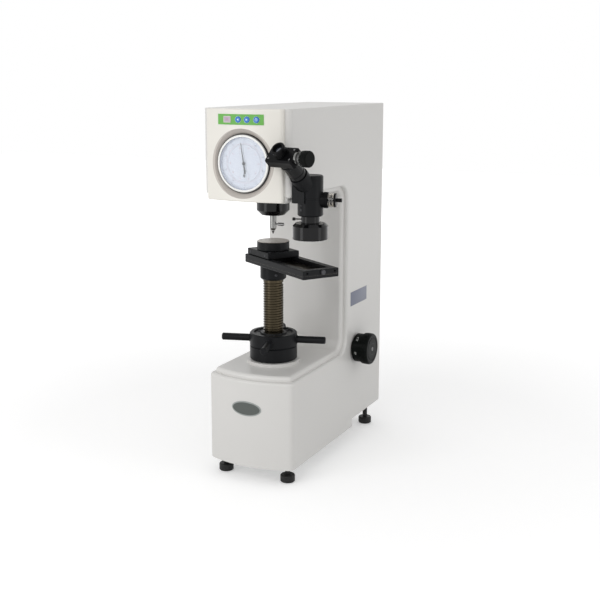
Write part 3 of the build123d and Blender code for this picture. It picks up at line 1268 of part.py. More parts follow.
# ---- feet, inlet and switch ------------------------------------------------------------------
def make_foot(x, y, bottom):
    foot = upright(FOOT_RADIUS, 0, FOOT_HEIGHT)
    foot = chamfer(foot.edges().sort_by(Axis.Z)[0], FOOT_EDGE / 2)
    foot = fillet(foot.edges().filter_by(GeomType.CIRCLE).sort_by(Axis.Z)[-1], FOOT_EDGE)
    foot += upright(FOOT_STUD_RADIUS, FOOT_HEIGHT - 1, bottom + FOOT_STUD_DEPTH)
    nut_low = bottom - CLEARANCE - FOOT_NUT
    foot += Pos(0, 0, nut_low) * extrude(RegularPolygon(FOOT_NUT_RADIUS, 6), FOOT_NUT)
    return Pos(x, y, 0) * foot


def rocker_pivot():
    """Y and Z of the switch's pivot."""
    face = BACK_Y + COVER_SHEET + INLET_FLANGE
    return face + ROCKER_PROUD - ROCKER_REACH, INLET_Z + ROCKER_RISE


def make_power_inlet():
    back = BACK_Y + COVER_SHEET
    half_width, half_height = INLET_WIDTH / 2, INLET_HEIGHT / 2
    flange = block(
        (INLET_X - half_width, back, INLET_Z - half_height),
        (INLET_X + half_width, back + INLET_FLANGE, INLET_Z + half_height),
    )
    flange = fillet(flange.edges().filter_by(Axis.Y), COVER_MARGIN)
    inlet = flange + inlet_hole(0)
    face = back + INLET_FLANGE
    socket_z = INLET_Z - SOCKET_DROP
    half_socket = SOCKET_WIDTH / 2
    low, high = socket_z - SOCKET_HEIGHT / 2, socket_z + SOCKET_HEIGHT / 2
    inlet -= block(
        (INLET_X - half_socket, face - SOCKET_DEPTH, low), (INLET_X + half_socket, face + 1, high)
    )
    for n in range(SOCKET_PINS):
        x = INLET_X + SOCKET_PIN_SPACING * (n - 1)
        z = socket_z + (SOCKET_PIN_SPACING / 2 if n == 1 else -SOCKET_PIN_SPACING / 2)
        inlet += block((x - 1, face - SOCKET_DEPTH - 1, z - 2), (x + 1, face - 2, z + 2))
    pivot_y, pivot_z = rocker_pivot()
    half_pocket = ROCKER_WIDTH / 2 + CLEARANCE
    tall = sqrt(ROCKER_HALF_HEIGHT**2 + ROCKER_REACH**2) + CLEARANCE
    inlet -= block(
        (INLET_X - half_pocket, pivot_y - tall, pivot_z - tall),
        (INLET_X + half_pocket, face + 1, pivot_z + tall),
    )
    reach = half_pocket + ROCKER_PIN_END
    pin_hole = ROCKER_PIN_RADIUS + RUNNING_FIT
    return inlet - sideways(pin_hole, INLET_X - reach, INLET_X + reach, pivot_y, pivot_z)


def make_power_switch():
    pivot_y, pivot_z = rocker_pivot()
    tall, reach = ROCKER_HALF_HEIGHT, ROCKER_REACH
    outline = make_face(
        Polyline(
            (-ROCKER_DEPTH, -tall + ROCKER_DIP),
            (reach, -tall),
            (reach - ROCKER_DIP, 0),
            (reach, tall),
            (-ROCKER_DEPTH, tall - ROCKER_DIP),
            close=True,
        )
    )
    rocker = extrude(Plane.YZ * outline, ROCKER_WIDTH / 2, both=True)
    pin = ROCKER_WIDTH / 2 + ROCKER_PIN_END
    rocker += sideways(ROCKER_PIN_RADIUS, -pin, pin, 0, 0)
    return Pos(INLET_X, pivot_y, pivot_z) * rocker


# ---- all the parts -----------------------------------------------------------------------
def all_parts():
    parts = {
        "body_casting": make_body_casting(),
        "top_cover": make_top_cover(),
        "rear_cover": make_rear_cover(),
        "bottom_plate": make_bottom_plate(),
        "head_cover": make_head_cover(),
        "control_panel": make_control_panel(),
        "display_window": make_display_window(),
        "gauge_case": make_gauge_case(),
        "dial_centre": make_dial_centre(),
        "spindle_cap": make_spindle_cap(),
        "spindle_bush": make_spindle_bush(),
        "fulcrum_pin": make_fulcrum_pin(),
        "dashpot_cylinder": make_dashpot_cylinder(),
        "loading_motor": make_loading_motor(),
        "power_supply": make_power_supply(),
        "selector_bush": make_selector_bush(),
        "thrust_bearing": make_thrust_bearing(),
        "screw_guide": make_screw_guide(),
        "microscope_bracket": make_microscope_bracket(),
        "body_tube": make_body_tube(),
        "objective": make_objective(),
        "objective_ring": make_objective_ring(),
        "lamp_house": make_lamp_house(),
        "lamp_window": make_lamp_window(),
        "inclined_tube": make_inclined_tube(),
        "power_inlet": make_power_inlet(),
        "dial_bezel": make_dial_bezel(),
        "dial_face": make_dial_face(),
        "dial_glass": make_dial_glass(),
        "long_needle": make_long_needle(),
        "short_needle": make_short_needle(),
        "spindle": make_spindle(),
        "indenter": make_indenter(),
        "indenter_screw": make_indenter_screw(),
        "load_lever": make_load_lever(),
        "dashpot_rod": make_dashpot_rod(),
        "weight_hanger": make_weight_hanger(),
        "weights": make_weights(),
        "load_knob": make_load_knob(),
        "knob_number_ring": make_knob_number_ring(),
        "selector_shaft": make_selector_shaft(),
        "handwheel": make_handwheel(),
        "handwheel_rods": make_handwheel_rods(),
        "lifting_screw": make_lifting_screw(),
        "rail_bed": make_rail_bed(),
        "stop_screw": make_stop_screw(),
        "slide_table": make_slide_table(),
        "anvil": make_anvil(),
        "micrometer_box": make_micrometer_box(),
        "micrometer_sleeve": make_micrometer_sleeve(),
        "micrometer_drum": make_micrometer_drum(),
        "eyepiece": make_eyepiece(),
        "power_switch": make_power_switch(),
    }
    for name, x in zip(("left", "middle", "right"), KEY_XS):
        parts[f"key_{name}"] = make_key(x)
    for name, x, y, bottom in foot_places():
        parts[f"foot_{name}"] = make_foot(x, y, bottom)
    return parts


os.makedirs("parts", exist_ok=True)
for part_name, shape in all_parts().items():
    export_step(Pos(LOADING_AXIS_X, LOADING_AXIS_Y, 0) * shape, f"parts/{part_name}.step")
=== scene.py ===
import json
import math

import bmesh
import bpy
from mathutils import Matrix, Vector


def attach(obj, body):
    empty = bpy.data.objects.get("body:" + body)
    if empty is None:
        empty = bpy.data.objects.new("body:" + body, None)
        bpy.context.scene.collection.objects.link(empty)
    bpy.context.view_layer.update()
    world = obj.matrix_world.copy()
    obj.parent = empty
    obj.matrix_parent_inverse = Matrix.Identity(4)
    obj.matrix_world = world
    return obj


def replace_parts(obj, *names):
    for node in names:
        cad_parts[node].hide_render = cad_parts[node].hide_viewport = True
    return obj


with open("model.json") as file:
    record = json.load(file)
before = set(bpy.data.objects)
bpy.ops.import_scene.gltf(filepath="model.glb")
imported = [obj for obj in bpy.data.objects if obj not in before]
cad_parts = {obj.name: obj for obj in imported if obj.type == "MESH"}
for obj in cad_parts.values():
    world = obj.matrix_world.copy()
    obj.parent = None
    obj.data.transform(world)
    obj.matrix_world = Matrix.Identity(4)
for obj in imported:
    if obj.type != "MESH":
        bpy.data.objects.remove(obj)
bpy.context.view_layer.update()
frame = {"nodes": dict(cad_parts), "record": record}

# ---- places, in machine millimetres from the loading axis and the floor -----------------------
MM = 0.001
FULL_TURN = 2 * math.pi
LOADING_AXIS = Vector((-35.8, -83.6, 0.0))  # in the frame's own millimetres
AXIS_PLACE = Matrix.Identity(4)
UP, DOWN = (0, 0, 1), (0, 0, -1)
FRONT, BACK = (0, -1, 0), (0, 1, 0)
RIGHT, LEFT = (1, 0, 0), (-1, 0, 0)
RAIL_BEARING = math.radians(-32.5)
LAMP_BEARING = math.radians(15.0)
SIGHT_BEARING = math.radians(-104.0)  # the way in which the slanted tube leans
SIGHT_RISE = math.radians(42.0)
SIGHT_ROOT_Z = 556.0  # where its axis meets the upright tube's
COVER_BOW_RADIUS, COVER_BOW_CENTRE_Y = 309.2, 187.2
BASE_BOW_RADIUS = 217.9
DISH_RADIUS = 62.5  # the ring pressed into the head cover round the dial


def heading(angle):
    """The level direction at an angle from the X axis."""
    return Vector((math.cos(angle), math.sin(angle), 0))


def placed(origin, z_axis, x_axis):
    """A place at origin whose Z and X axes point the given ways."""
    z = Vector(z_axis).normalized()
    x = Vector(x_axis).normalized()
    turn = Matrix((x, z.cross(x), z)).transposed().to_4x4()
    return Matrix.Translation(Vector(origin)) @ turn


def moved(place, x, y, z):
    return place @ Matrix.Translation((x, y, z))


def around(place, angle, radius, height):
    """A place on a cylinder round place's Z axis, standing outwards, with Z kept as its X."""
    turned = place @ Matrix.Rotation(angle, 4, "Z")
    return moved(turned, radius, 0, height) @ Matrix.Rotation(math.pi / 2, 4, "Y")


def on_ring(place, angle, radius):
    """A place on a circle in place's XY plane; the angle runs clockwise from straight up."""
    return moved(place, math.sin(angle) * radius, math.cos(angle) * radius, 0)


def bow_place(x, z, radius, centre_y):
    """A place on an upright bowed front, facing out of it."""
    angle = math.asin(x / radius)
    out = Vector((math.sin(angle), -math.cos(angle), 0))
    along = Vector((math.cos(angle), math.sin(angle), 0))
    return placed(Vector((0, centre_y, z)) + out * radius, out, along)


def extent(name, place=AXIS_PLACE):
    """The lowest and the highest corner of a CAD part, measured along the axes of place."""
    inverse = place.inverted()
    points = [inverse @ (v.co / MM - LOADING_AXIS) for v in frame["nodes"][name].data.vertices]
    low = Vector([min(p[n] for p in points) for n in range(3)])
    high = Vector([max(p[n] for p in points) for n in range(3)])
    return low, high


def middle(name, place=AXIS_PLACE):
    low, high = extent(name, place)
    return (low + high) / 2


# ---- materials --------------------------------------------------------------------------------
PATCH_SCALE = 14  # patches to the metre
GRAIN_DEPTH = 0.0003  # in metres
COAT_ROUGHNESS = 0.08


def own_place(m):
    """Where on its object a point of the surface lies, in metres."""
    return m.node_tree.nodes.new("ShaderNodeTexCoord").outputs["Object"]


def stretched(m, stretch):
    """That place, scaled along the object's axes, which squeezes the patterns read from it."""
    mapping = m.node_tree.nodes.new("ShaderNodeMapping")
    mapping.inputs["Scale"].default_value = stretch
    m.node_tree.links.new(own_place(m), mapping.inputs["Vector"])
    return mapping.outputs["Vector"]


def noise(m, where, scale, detail):
    texture = m.node_tree.nodes.new("ShaderNodeTexNoise")
    texture.inputs["Scale"].default_value = scale
    texture.inputs["Detail"].default_value = detail
    m.node_tree.links.new(where, texture.inputs["Vector"])
    return texture.outputs["Fac"]


def drift_colour(m, patches, colour, tint):
    """Lets the colour vary a little from patch to patch."""
    nodes, links = m.node_tree.nodes, m.node_tree.links
    mix = nodes.new("ShaderNodeMix")
    mix.data_type = "RGBA"
    mix.inputs["A"].default_value = (*[c * (1 - tint) for c in colour], 1)
    mix.inputs["B"].default_value = (*[min(c * (1 + tint), 1) for c in colour], 1)
    links.new(patches, mix.inputs["Factor"])
    links.new(mix.outputs["Result"], nodes["Principled BSDF"].inputs["Base Color"])


def drift_gloss(m, patches, rough, spread):
    """Lets the roughness vary a little from patch to patch."""
    nodes, links = m.node_tree.nodes, m.node_tree.links
    gloss = nodes.new("ShaderNodeMapRange")
    gloss.inputs["To Min"].default_value = max(rough - spread, 0.02)
    gloss.inputs["To Max"].default_value = min(rough + spread, 1)
    links.new(patches, gloss.inputs["Value"])
    links.new(gloss.outputs["Result"], nodes["Principled BSDF"].inputs["Roughness"])


def fine_grain(m, where, strength, size):
    """The fine bumps of a paint, a casting or a turned face."""
    nodes, links = m.node_tree.nodes, m.node_tree.links
    bump = nodes.new("ShaderNodeBump")
    bump.inputs["Strength"].default_value = strength
    bump.inputs["Distance"].default_value = GRAIN_DEPTH
    links.new(noise(m, where, size, 2), bump.inputs["Height"])
    links.new(bump.outputs["Normal"], nodes["Principled BSDF"].inputs["Normal"])


def material(name, colour, rough, metallic=0.0, coat=0.0, grain=0.0, grain_size=900.0, spread=0.06,
             tint=0.03, stretch=(1, 1, 1), specular=0.5, transmission=0.0, opacity=1.0):
    """A surface whose colour and roughness drift a little over it, with a fine grain."""
    m = bpy.data.materials.new(name)
    m.use_nodes = True
    m.diffuse_color = (*colour, 1)
    shader = m.node_tree.nodes["Principled BSDF"]
    shader.inputs["Metallic"].default_value = metallic
    shader.inputs["Coat Weight"].default_value = coat
    shader.inputs["Coat Roughness"].default_value = COAT_ROUGHNESS
    shader.inputs["Specular IOR Level"].default_value = specular
    shader.inputs["Transmission Weight"].default_value = transmission
    shader.inputs["Alpha"].default_value = opacity
    where = stretched(m, stretch)
    patches = noise(m, where, PATCH_SCALE, 4)
    drift_colour(m, patches, colour, tint)
    drift_gloss(m, patches, rough, spread)
    if grain:
        fine_grain(m, where, grain, grain_size)
    return m


def masked(m, mask, colour, rough, metallic=0.0):
    """Gives the part of a material where mask is 1 another colour and finish."""
    nodes, links = m.node_tree.nodes, m.node_tree.links
    shader = nodes["Principled BSDF"]
    for socket, value in (("Base Color", (*colour, 1)), ("Roughness", rough), ("Metallic", metallic)):
        mix = nodes.new("ShaderNodeMix")
        mix.data_type = "RGBA" if socket == "Base Color" else "FLOAT"
        first, second = [s for s in mix.inputs if s.enabled and s.name in "AB"]
        if shader.inputs[socket].links:
            links.new(shader.inputs[socket].links[0].from_socket, first)
        else:
            first.default_value = shader.inputs[socket].default_value
        second.default_value = value
        links.new(mask, mix.inputs["Factor"])
        result = [s for s in mix.outputs if s.enabled][0]
        links.new(result, shader.inputs[socket])


def near_mask(m, source, centre, reach):
    """1 where a value lies within reach of centre."""
    near = m.node_tree.nodes.new("ShaderNodeMath")
    near.operation = "COMPARE"
    near.inputs[1].default_value = centre
    near.inputs[2].default_value = reach
    m.node_tree.links.new(source, near.inputs[0])
    return near.outputs["Value"]


def height_mask(m, low, high):
    """1 between two heights, in mm."""
    split = m.node_tree.nodes.new("ShaderNodeSeparateXYZ")
    m.node_tree.links.new(own_place(m), split.inputs["Vector"])
    return near_mask(m, split.outputs["Z"], (low + high) / 2 * MM, (high - low) / 2 * MM)


def round_mask(m, x, z, radius):
    """1 within a circle seen from the front, in mm."""
    nodes, links = m.node_tree.nodes, m.node_tree.links
    flat = nodes.new("ShaderNodeVectorMath")
    flat.operation = "MULTIPLY"
    flat.inputs[1].default_value = (1, 0, 1)
    links.new(own_place(m), flat.inputs[0])
    away = nodes.new("ShaderNodeVectorMath")
    away.operation = "DISTANCE"
    away.inputs[1].default_value = ((x + LOADING_AXIS.x) * MM, 0, z * MM)
    links.new(flat.outputs["Vector"], away.inputs[0])
    return near_mask(m, away.outputs["Value"], 0, radius * MM)


BLACK_IRON = (0.009, 0.0095, 0.0105)
MATERIALS = {  # one for each material slot of the record
    "body_paint": material("body_paint", (0.66, 0.65, 0.63), 0.42, coat=0.12, grain=0.10, tint=0.015),
    "cover_paint": material("cover_paint", (0.78, 0.755, 0.70), 0.35, coat=0.2, grain=0.05, tint=0.012),
    "panel_green": material("panel_green", (0.15, 0.43, 0.09), 0.5, grain=0.04, tint=0.02, specular=0.3),
    "window": material("window", (0.50, 0.41, 0.50), 0.2, tint=0.02, spread=0.03, specular=0.3),
    "key_blue": material("key_blue", (0.05, 0.20, 0.58), 0.42, tint=0.02, specular=0.3),
    "black_gloss": material("black_gloss", (0.002, 0.002, 0.0025), 0.13, tint=0.1, spread=0.04,
                            specular=0.22),
    "black_plastic": material("black_plastic", (0.004, 0.004, 0.0045), 0.34, grain=0.12, tint=0.1,
                              specular=0.08),
    "knob_plastic": material("knob_plastic", (0.005, 0.006, 0.0055), 0.3, grain=0.05, tint=0.1,
                             specular=0.05),
    "wheel_black": material("wheel_black", BLACK_IRON, 0.36, grain=0.15, tint=0.1, specular=0.1),
    "steel": material("steel", (0.48, 0.48, 0.47), 0.26, 1.0, grain=0.1, stretch=(1, 1, 12)),
    "chrome": material("chrome", (0.62, 0.62, 0.63), 0.14, 1.0, spread=0.04),
    "dark_steel": material("dark_steel", (0.05, 0.05, 0.055), 0.4, 0.6, grain=0.1),
    "aluminium": material("aluminium", (0.60, 0.61, 0.60), 0.34, 1.0, grain=0.1),
    "cast_iron": material("cast_iron", (0.13, 0.13, 0.135), 0.6, 0.6, grain=0.5, grain_size=500),
    "brass": material("brass", (0.62, 0.46, 0.22), 0.32, 1.0, grain=0.08),
    "dial_white": material("dial_white", (0.73, 0.77, 0.86), 0.55, tint=0.01, specular=0.3),
    "clear": material("clear", (0.80, 0.77, 0.72), 0.12, spread=0.03, tint=0.0, transmission=1.0),
    "needle_black": material("needle_black", (0.02, 0.02, 0.022), 0.45, tint=0.1, specular=0.3),
    "zinc": material("zinc", (0.58, 0.59, 0.58), 0.38, 1.0, grain=0.1, grain_size=200),
    "rubber": material("rubber", (0.010, 0.010, 0.010), 0.5, grain=0.25, tint=0.1, specular=0.3),
}
WHEEL_BLACK, DARK_STEEL = MATERIALS["wheel_black"], MATERIALS["dark_steel"]
BLACK_PLASTIC, KNOB_PLASTIC = MATERIALS["black_plastic"], MATERIALS["knob_plastic"]
BLACK_GLOSS, NEEDLE_BLACK = MATERIALS["black_gloss"], MATERIALS["needle_black"]
BEZEL_METAL = material("bezel_metal", (0.42, 0.42, 0.41), 0.4, 1.0)
BRONZED_STEEL = material("bronzed_steel", (0.058, 0.047, 0.030), 0.24, 1.0, grain=0.08, tint=0.2)
SCREW_STEEL = material("screw_steel", (0.20, 0.20, 0.20), 0.34, 1.0)
DULL_STEEL = material("dull_steel", (0.21, 0.21, 0.205), 0.24, 1.0, stretch=(12, 1, 1))
# dark print, and the painted shade of screw recesses and socket holes
INK_AND_SHADE = material("ink_and_shade", (0.03, 0.03, 0.035), 0.6, specular=0.2)
DIAL_INK = material("dial_ink", (0.06, 0.08, 0.13), 0.6, specular=0.2)
DIAL_RED = material("dial_red", (0.50, 0.13, 0.14), 0.6, specular=0.2)
PALE_INK = material("pale_ink", (0.55, 0.56, 0.54), 0.5, specular=0.2)
KEY_INK = material("key_ink", (0.72, 0.82, 0.90), 0.4, specular=0.2)
WINDOW_INK = material("window_ink", (0.50, 0.26, 0.38), 0.5, specular=0.2)
WINDOW_FRAME = material("window_frame", (0.66, 0.60, 0.58), 0.5, specular=0.2)
LABEL = material("label", (0.17, 0.185, 0.245), 0.42, grain=0.05)
BADGE = material("badge", (0.085, 0.095, 0.088), 0.4, 0.3, grain=0.3, grain_size=300)
BADGE_RIM = material("badge_rim", (0.30, 0.32, 0.31), 0.35, 0.7)
DIAL_GLASS = material("dial_glass", (0.92, 0.96, 1.0), 0.05, spread=0.02, tint=0.0, opacity=0.12)
LENS = material("lens", (0.02, 0.025, 0.04), 0.05, coat=1.0, spread=0.02)
DIFFUSER = material("diffuser", (0.80, 0.80, 0.76), 0.4)


def rail_black():
    """Black iron, with bright steel on the floor of the rail's slot."""
    m = material("rail_black", BLACK_IRON, 0.36, grain=0.15, tint=0.1, specular=0.1)
    slot_floor = extent("rail_bed")[1].z - 10
    masked(m, height_mask(m, slot_floor - 0.05, slot_floor + 0.05), (0.22, 0.20, 0.17), 0.3, 1.0)
    return m


def anvil_black():
    """Black iron, with a ground face on top."""
    m = material("anvil_black", BLACK_IRON, 0.34, grain=0.1, tint=0.1, specular=0.1)
    face = extent("anvil")[1].z
    masked(m, height_mask(m, face - 0.9, face + 1), (0.40, 0.37, 0.34), 0.32, 1.0)
    return m


def cover_with_dish_shade():
    """The head cover's paint, with painted shade making the dish round the dial darker."""
    m = MATERIALS["cover_paint"].copy()
    m.name = "cover_with_dish_shade"
    dial = middle("dial_bezel")
    # painted shade: the whole dish round the dial gets a darker colour
    masked(m, round_mask(m, dial.x, dial.z, DISH_RADIUS), (0.53, 0.49, 0.45), 0.45)
    return m


NODE_FINISHES = {  # where a CAD part differs from its material slot
    "rail_bed": rail_black(),
    "anvil": anvil_black(),
    "head_cover": cover_with_dish_shade(),
    "slide_table": WHEEL_BLACK,
    "handwheel_rods": WHEEL_BLACK,
    "selector_bush": WHEEL_BLACK,
    "objective_ring": BLACK_GLOSS,
    "indenter_screw": SCREW_STEEL,
    "stop_screw": DARK_STEEL,
    "micrometer_sleeve": DULL_STEEL,
    "indenter": DULL_STEEL,
    "spindle": DULL_STEEL,
    "dial_bezel": BEZEL_METAL,
    "dial_glass": DIAL_GLASS,
}


def shade(mesh, sharp_from):
    """Smooth faces, with every edge kept sharp that turns by more than an angle in degrees."""
    mesh.polygons.foreach_set("use_smooth", [True] * len(mesh.polygons))
    mesh.set_sharp_from_angle(angle=math.radians(sharp_from))


def finish_node(name, slot):
    mesh = frame["nodes"][name].data
    mesh.materials.clear()
    mesh.materials.append(NODE_FINISHES.get(name) or MATERIALS[slot])
    shade(mesh, 28)


for part in frame["record"]["subparts"]:
    finish_node(part["node"], part["material_slot"])


# ---- drawing ----------------------------------------------------------------------------------
def piece(name, bm, body, *finishes, sharp_from=30):
    """Makes an object of a mesh drawn in machine millimetres, and lets it ride on a body."""
    bmesh.ops.translate(bm, verts=bm.verts, vec=LOADING_AXIS)
    bmesh.ops.scale(bm, verts=bm.verts, vec=(MM, MM, MM))
    mesh = bpy.data.meshes.new(name)
    bm.to_mesh(mesh)
    bm.free()
    for finish in finishes:
        mesh.materials.append(finish)
    shade(mesh, sharp_from)
    obj = bpy.data.objects.new(name, mesh)
    bpy.context.scene.collection.objects.link(obj)
    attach(obj, body)
    return obj


def spun(bm, line, place, angle, steps, rise=0.0, mat=0):
    """Turns a line of points about the Z axis of place, rising as it goes; gives the faces made."""
    old_verts, old_faces = set(bm.verts), set(bm.faces)
    verts = [bm.verts.new(place @ Vector(point)) for point in line]
    edges = [bm.edges.new(pair) for pair in zip(verts, verts[1:])]
    axis = place.to_3x3() @ Vector(UP)
    bmesh.ops.spin(bm, geom=verts + edges, cent=place.translation, axis=axis, dvec=axis * rise / steps,
                   angle=angle, steps=steps)
    new_verts = [vert for vert in bm.verts if vert not in old_verts]
    bmesh.ops.remove_doubles(bm, verts=new_verts, dist=0.002)
    faces = [face for face in bm.faces if face not in old_faces]
    for face in faces:
        face.material_index = mat
    return faces


def lathe(bm, profile, place, steps=48, mat=0):
    """Turns (radius, height) points about the Z axis of place."""
    faces = spun(bm, [(radius, 0, height) for radius, height in profile], place, FULL_TURN, steps, 0, mat)
    bmesh.ops.recalc_face_normals(bm, faces=faces)


def disc(bm, place, radius, thickness, steps=32, mat=0, edge=0.0):
    """A round button standing on place."""
    rim = [(radius, thickness - edge), (radius - edge, thickness)] if edge else [(radius, thickness)]
    lathe(bm, [(radius, 0), *rim, (0, thickness)], place, steps, mat)


def slab(bm, place, width, height, thickness, edge=0.0):
    """A thin block lying on the XY plane of place."""
    shape = moved(place, 0, 0, thickness / 2) @ Matrix.Diagonal((width, height, thickness, 1))
    verts = bmesh.ops.create_cube(bm, size=1, matrix=shape)["verts"]
    edges = list({e for v in verts for e in v.link_edges})
    bmesh.ops.bevel(bm, geom=edges, offset=edge, offset_type="OFFSET", segments=2, profile=0.5,
                    affect="EDGES", material=-1)


def patch(bm, place, width, height, mat=0):
    """A flat rectangle centred on place."""
    shape = place @ Matrix.Diagonal((width, height, 1, 1))
    verts = bmesh.ops.create_grid(bm, x_segments=1, y_segments=1, size=0.5, matrix=shape)["verts"]
    verts[0].link_faces[0].material_index = mat


def letters(bm, text, place, size, mat=0):
    """Flat lettering centred on place, reading along its X axis."""
    curve = bpy.data.curves.new("letters", "FONT")
    curve.body = text
    curve.size = size
    curve.align_x = "CENTER"
    curve.align_y = "CENTER"
    curve.resolution_u = 3
    holder = bpy.data.objects.new("letters", curve)
    bpy.context.scene.collection.objects.link(holder)
    bpy.context.view_layer.update()
    mesh = bpy.data.meshes.new_from_object(holder)
    old_verts, old_faces = set(bm.verts), set(bm.faces)
    bm.from_mesh(mesh)
    bmesh.ops.transform(bm, matrix=place, verts=[vert for vert in bm.verts if vert not in old_verts])
    for face in set(bm.faces) - old_faces:
        face.material_index = mat
    bpy.data.objects.remove(holder)
    bpy.data.curves.remove(curve)
    bpy.data.meshes.remove(mesh)


def ring_line(bm, place, radius, width, mat=0, start=0.0, sweep=FULL_TURN, steps=96):
    """A flat arc that runs clockwise from an angle measured from straight up."""
    under = place @ Matrix.Rotation(-start, 4, "Z") @ Matrix.Rotation(math.pi, 4, "Y")
    spun(bm, [(0, radius + width, 0), (0, radius, 0)], under, sweep, steps, 0, mat)


def tick(bm, place, angle, inner, outer, width, mat=0):
    """A radial line; the angle runs clockwise from straight up."""
    turned = place @ Matrix.Rotation(-angle, 4, "Z")
    patch(bm, moved(turned, 0, (inner + outer) / 2, 0), width, outer - inner, mat)


def cap_screw(bm, place, radius, height=1.2):
    """A round screw head with a dark cross in the second material: painted shade of its cross recess."""
    bar_length, bar_width = radius * 1.1, radius * 0.28
    disc(bm, place, radius, height, 20, 0, min(radius * 0.25, height * 0.8))
    # painted shade: two dark bars where the cross recess would be
    patch(bm, moved(place, 0, 0, height + 0.03), bar_length, bar_width, 1)
    patch(bm, moved(place, 0, 0, height + 0.04), bar_width, bar_length, 1)


# ---- lifting screw ----------------------------------------------------------------------------
def screw_thread():
    """The screw with its trapezoidal thread and the keyway along its back."""
    low, high = extent("lifting_screw")
    shoulder = extent("rail_bed")[0].z
    pitch, steps = 5.0, 48
    crest, root = high.x - 0.05, high.x - 1.8
    key_half_width, key_floor = 3.2, high.x - 2.9
    start, end = low.z + 1, shoulder - 7
    turns = int((end - start) / pitch)
    outline = ((root, pitch), (root, 4.7), (crest, 3.9), (crest, 1.9), (root, 1.1), (root, 0))
    line = [(radius, 0, start + rise) for radius, rise in outline]
    bm = bmesh.new()
    spun(bm, line, AXIS_PLACE, turns * FULL_TURN, turns * steps, turns * pitch)
    for vert in bm.verts:
        x, y, z = vert.co
        if y > key_floor and abs(x) < key_half_width:
            vert.co = (x * key_floor / y, key_floor, z)
    core, neck = root - 0.4, 13.9
    foot = [(0, low.z), (core - 0.6, low.z), (core, start), (core, shoulder - 6)]
    head = [(crest, shoulder - 5.5), (crest, shoulder), (neck, shoulder), (neck, high.z), (0, high.z)]
    lathe(bm, foot + head, AXIS_PLACE, steps)
    return piece("screw_thread", bm, "screw", BRONZED_STEEL, sharp_from=40)


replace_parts(screw_thread(), "lifting_screw")


# ---- dial -------------------------------------------------------------------------------------
PRINT_GAP = 0.06  # by how much a print stands proud of its face
DIAL_MIDDLE = middle("dial_bezel")


def dial_place(y):
    """The middle of the dial, facing forwards."""
    return placed((DIAL_MIDDLE.x, y, DIAL_MIDDLE.z), FRONT, RIGHT)


def dial_scale():
    """A hundred divisions with their numbers, and a second, red scale inside them."""
    rim, number_radius, red_rim = 46.6, 39.3, 35.0
    bm = bmesh.new()
    place = dial_place(extent("dial_centre")[0].y - PRINT_GAP)
    for n in range(100):
        length = 4.2 if n % 10 == 0 else 3.2 if n % 5 == 0 else 2.2
        tick(bm, place, FULL_TURN * n / 100, rim - length, rim, 0.6 if n % 10 == 0 else 0.4)
    ring_line(bm, place, rim, 0.25)
    for n in range(10):
        spot = on_ring(place, FULL_TURN * n / 10, number_radius)
        letters(bm, str((100 - 10 * n) % 100), spot, 3.6)
    ring_line(bm, place, red_rim, 0.2, 1)
    for n in range(50):
        tick(bm, place, FULL_TURN * n / 50, red_rim, red_rim + (1.5 if n % 5 else 2.2), 0.22, 1)
    piece("dial_scale", bm, "bezel", DIAL_INK, DIAL_RED)


def dial_centre_print():
    """The red numbers and the small load scale on the fixed middle of the dial."""
    number_radius, small_rim = 28.5, 9.6
    bm = bmesh.new()
    place = dial_place(extent("dial_centre")[0].y - PRINT_GAP)
    for n in range(10):
        spot = on_ring(place, FULL_TURN * (n + 0.5) / 10, number_radius)
        letters(bm, str(120 - 10 * n), spot, 2.8, 1)
    small = moved(place, 0, middle("short_needle").z - DIAL_MIDDLE.z - 3, 0)
    ring_line(bm, small, small_rim, 0.2, 0, math.radians(-10), math.radians(170), 48)
    for n in range(7):
        tick(bm, small, math.radians(24 * n), small_rim - 1.4, small_rim, 0.25)
    piece("dial_centre_print", bm, "body", DIAL_INK, DIAL_RED)


def needle_hub():
    bm = bmesh.new()
    disc(bm, dial_place(extent("long_needle")[0].y), 2.6, 0.25, 24, 0, 0.1)
    piece("needle_hub", bm, "long_needle", NEEDLE_BLACK)


def bezel_gap_shade():
    """A dark ring in the gap round the turning bezel, painted shade of the gap."""
    bm = bmesh.new()
    low, high = extent("dial_bezel")
    inner = (high.x - low.x) / 2 + 0.3
    outer = inner + 1.0
    lathe(bm, [(inner, 0), (inner, 0.9), (outer, 0.9), (outer, 0)], dial_place(high.y - 9), 72)
    # painted shade: a dark ring fills the gap round the bezel
    piece("bezel_gap_shade", bm, "body", NEEDLE_BLACK)


dial_scale()
dial_centre_print()
needle_hub()
bezel_gap_shade()


# ---- keypad -----------------------------------------------------------------------------------
STRIP_SKIN, WINDOW_SKIN = 0.86, 1.26  # how far strip and window stand proud of the cover


def cover_place(x, z, proud):
    """A place over the head cover's bowed front, facing out of it."""
    return moved(bow_place(x, z, COVER_BOW_RADIUS, COVER_BOW_CENTRE_Y), 0, 0, proud)


def key_place(name):
    centre = middle(name)
    return placed((centre.x, extent(name)[0].y - PRINT_GAP, centre.z), FRONT, RIGHT)


def key_arrow(name, side):
    """An arrow on a key, to the right where side is 1 and to the left where it is -1."""
    bm = bmesh.new()
    corners = ((-1.5 * side, -2.0 * side), (2.1 * side, 0), (-1.5 * side, 2.0 * side))
    bm.faces.new([bm.verts.new(key_place(name) @ Vector((x, y, 0))) for x, y in corners])
    piece(name + "_sign", bm, name, KEY_INK)


def key_round_sign(name):
    bm = bmesh.new()
    place = key_place(name)
    ring_line(bm, place, 1.7, 0.6)
    patch(bm, moved(place, 0, 2.0, 0.01), 0.6, 2.6)
    piece(name + "_sign", bm, name, KEY_INK)


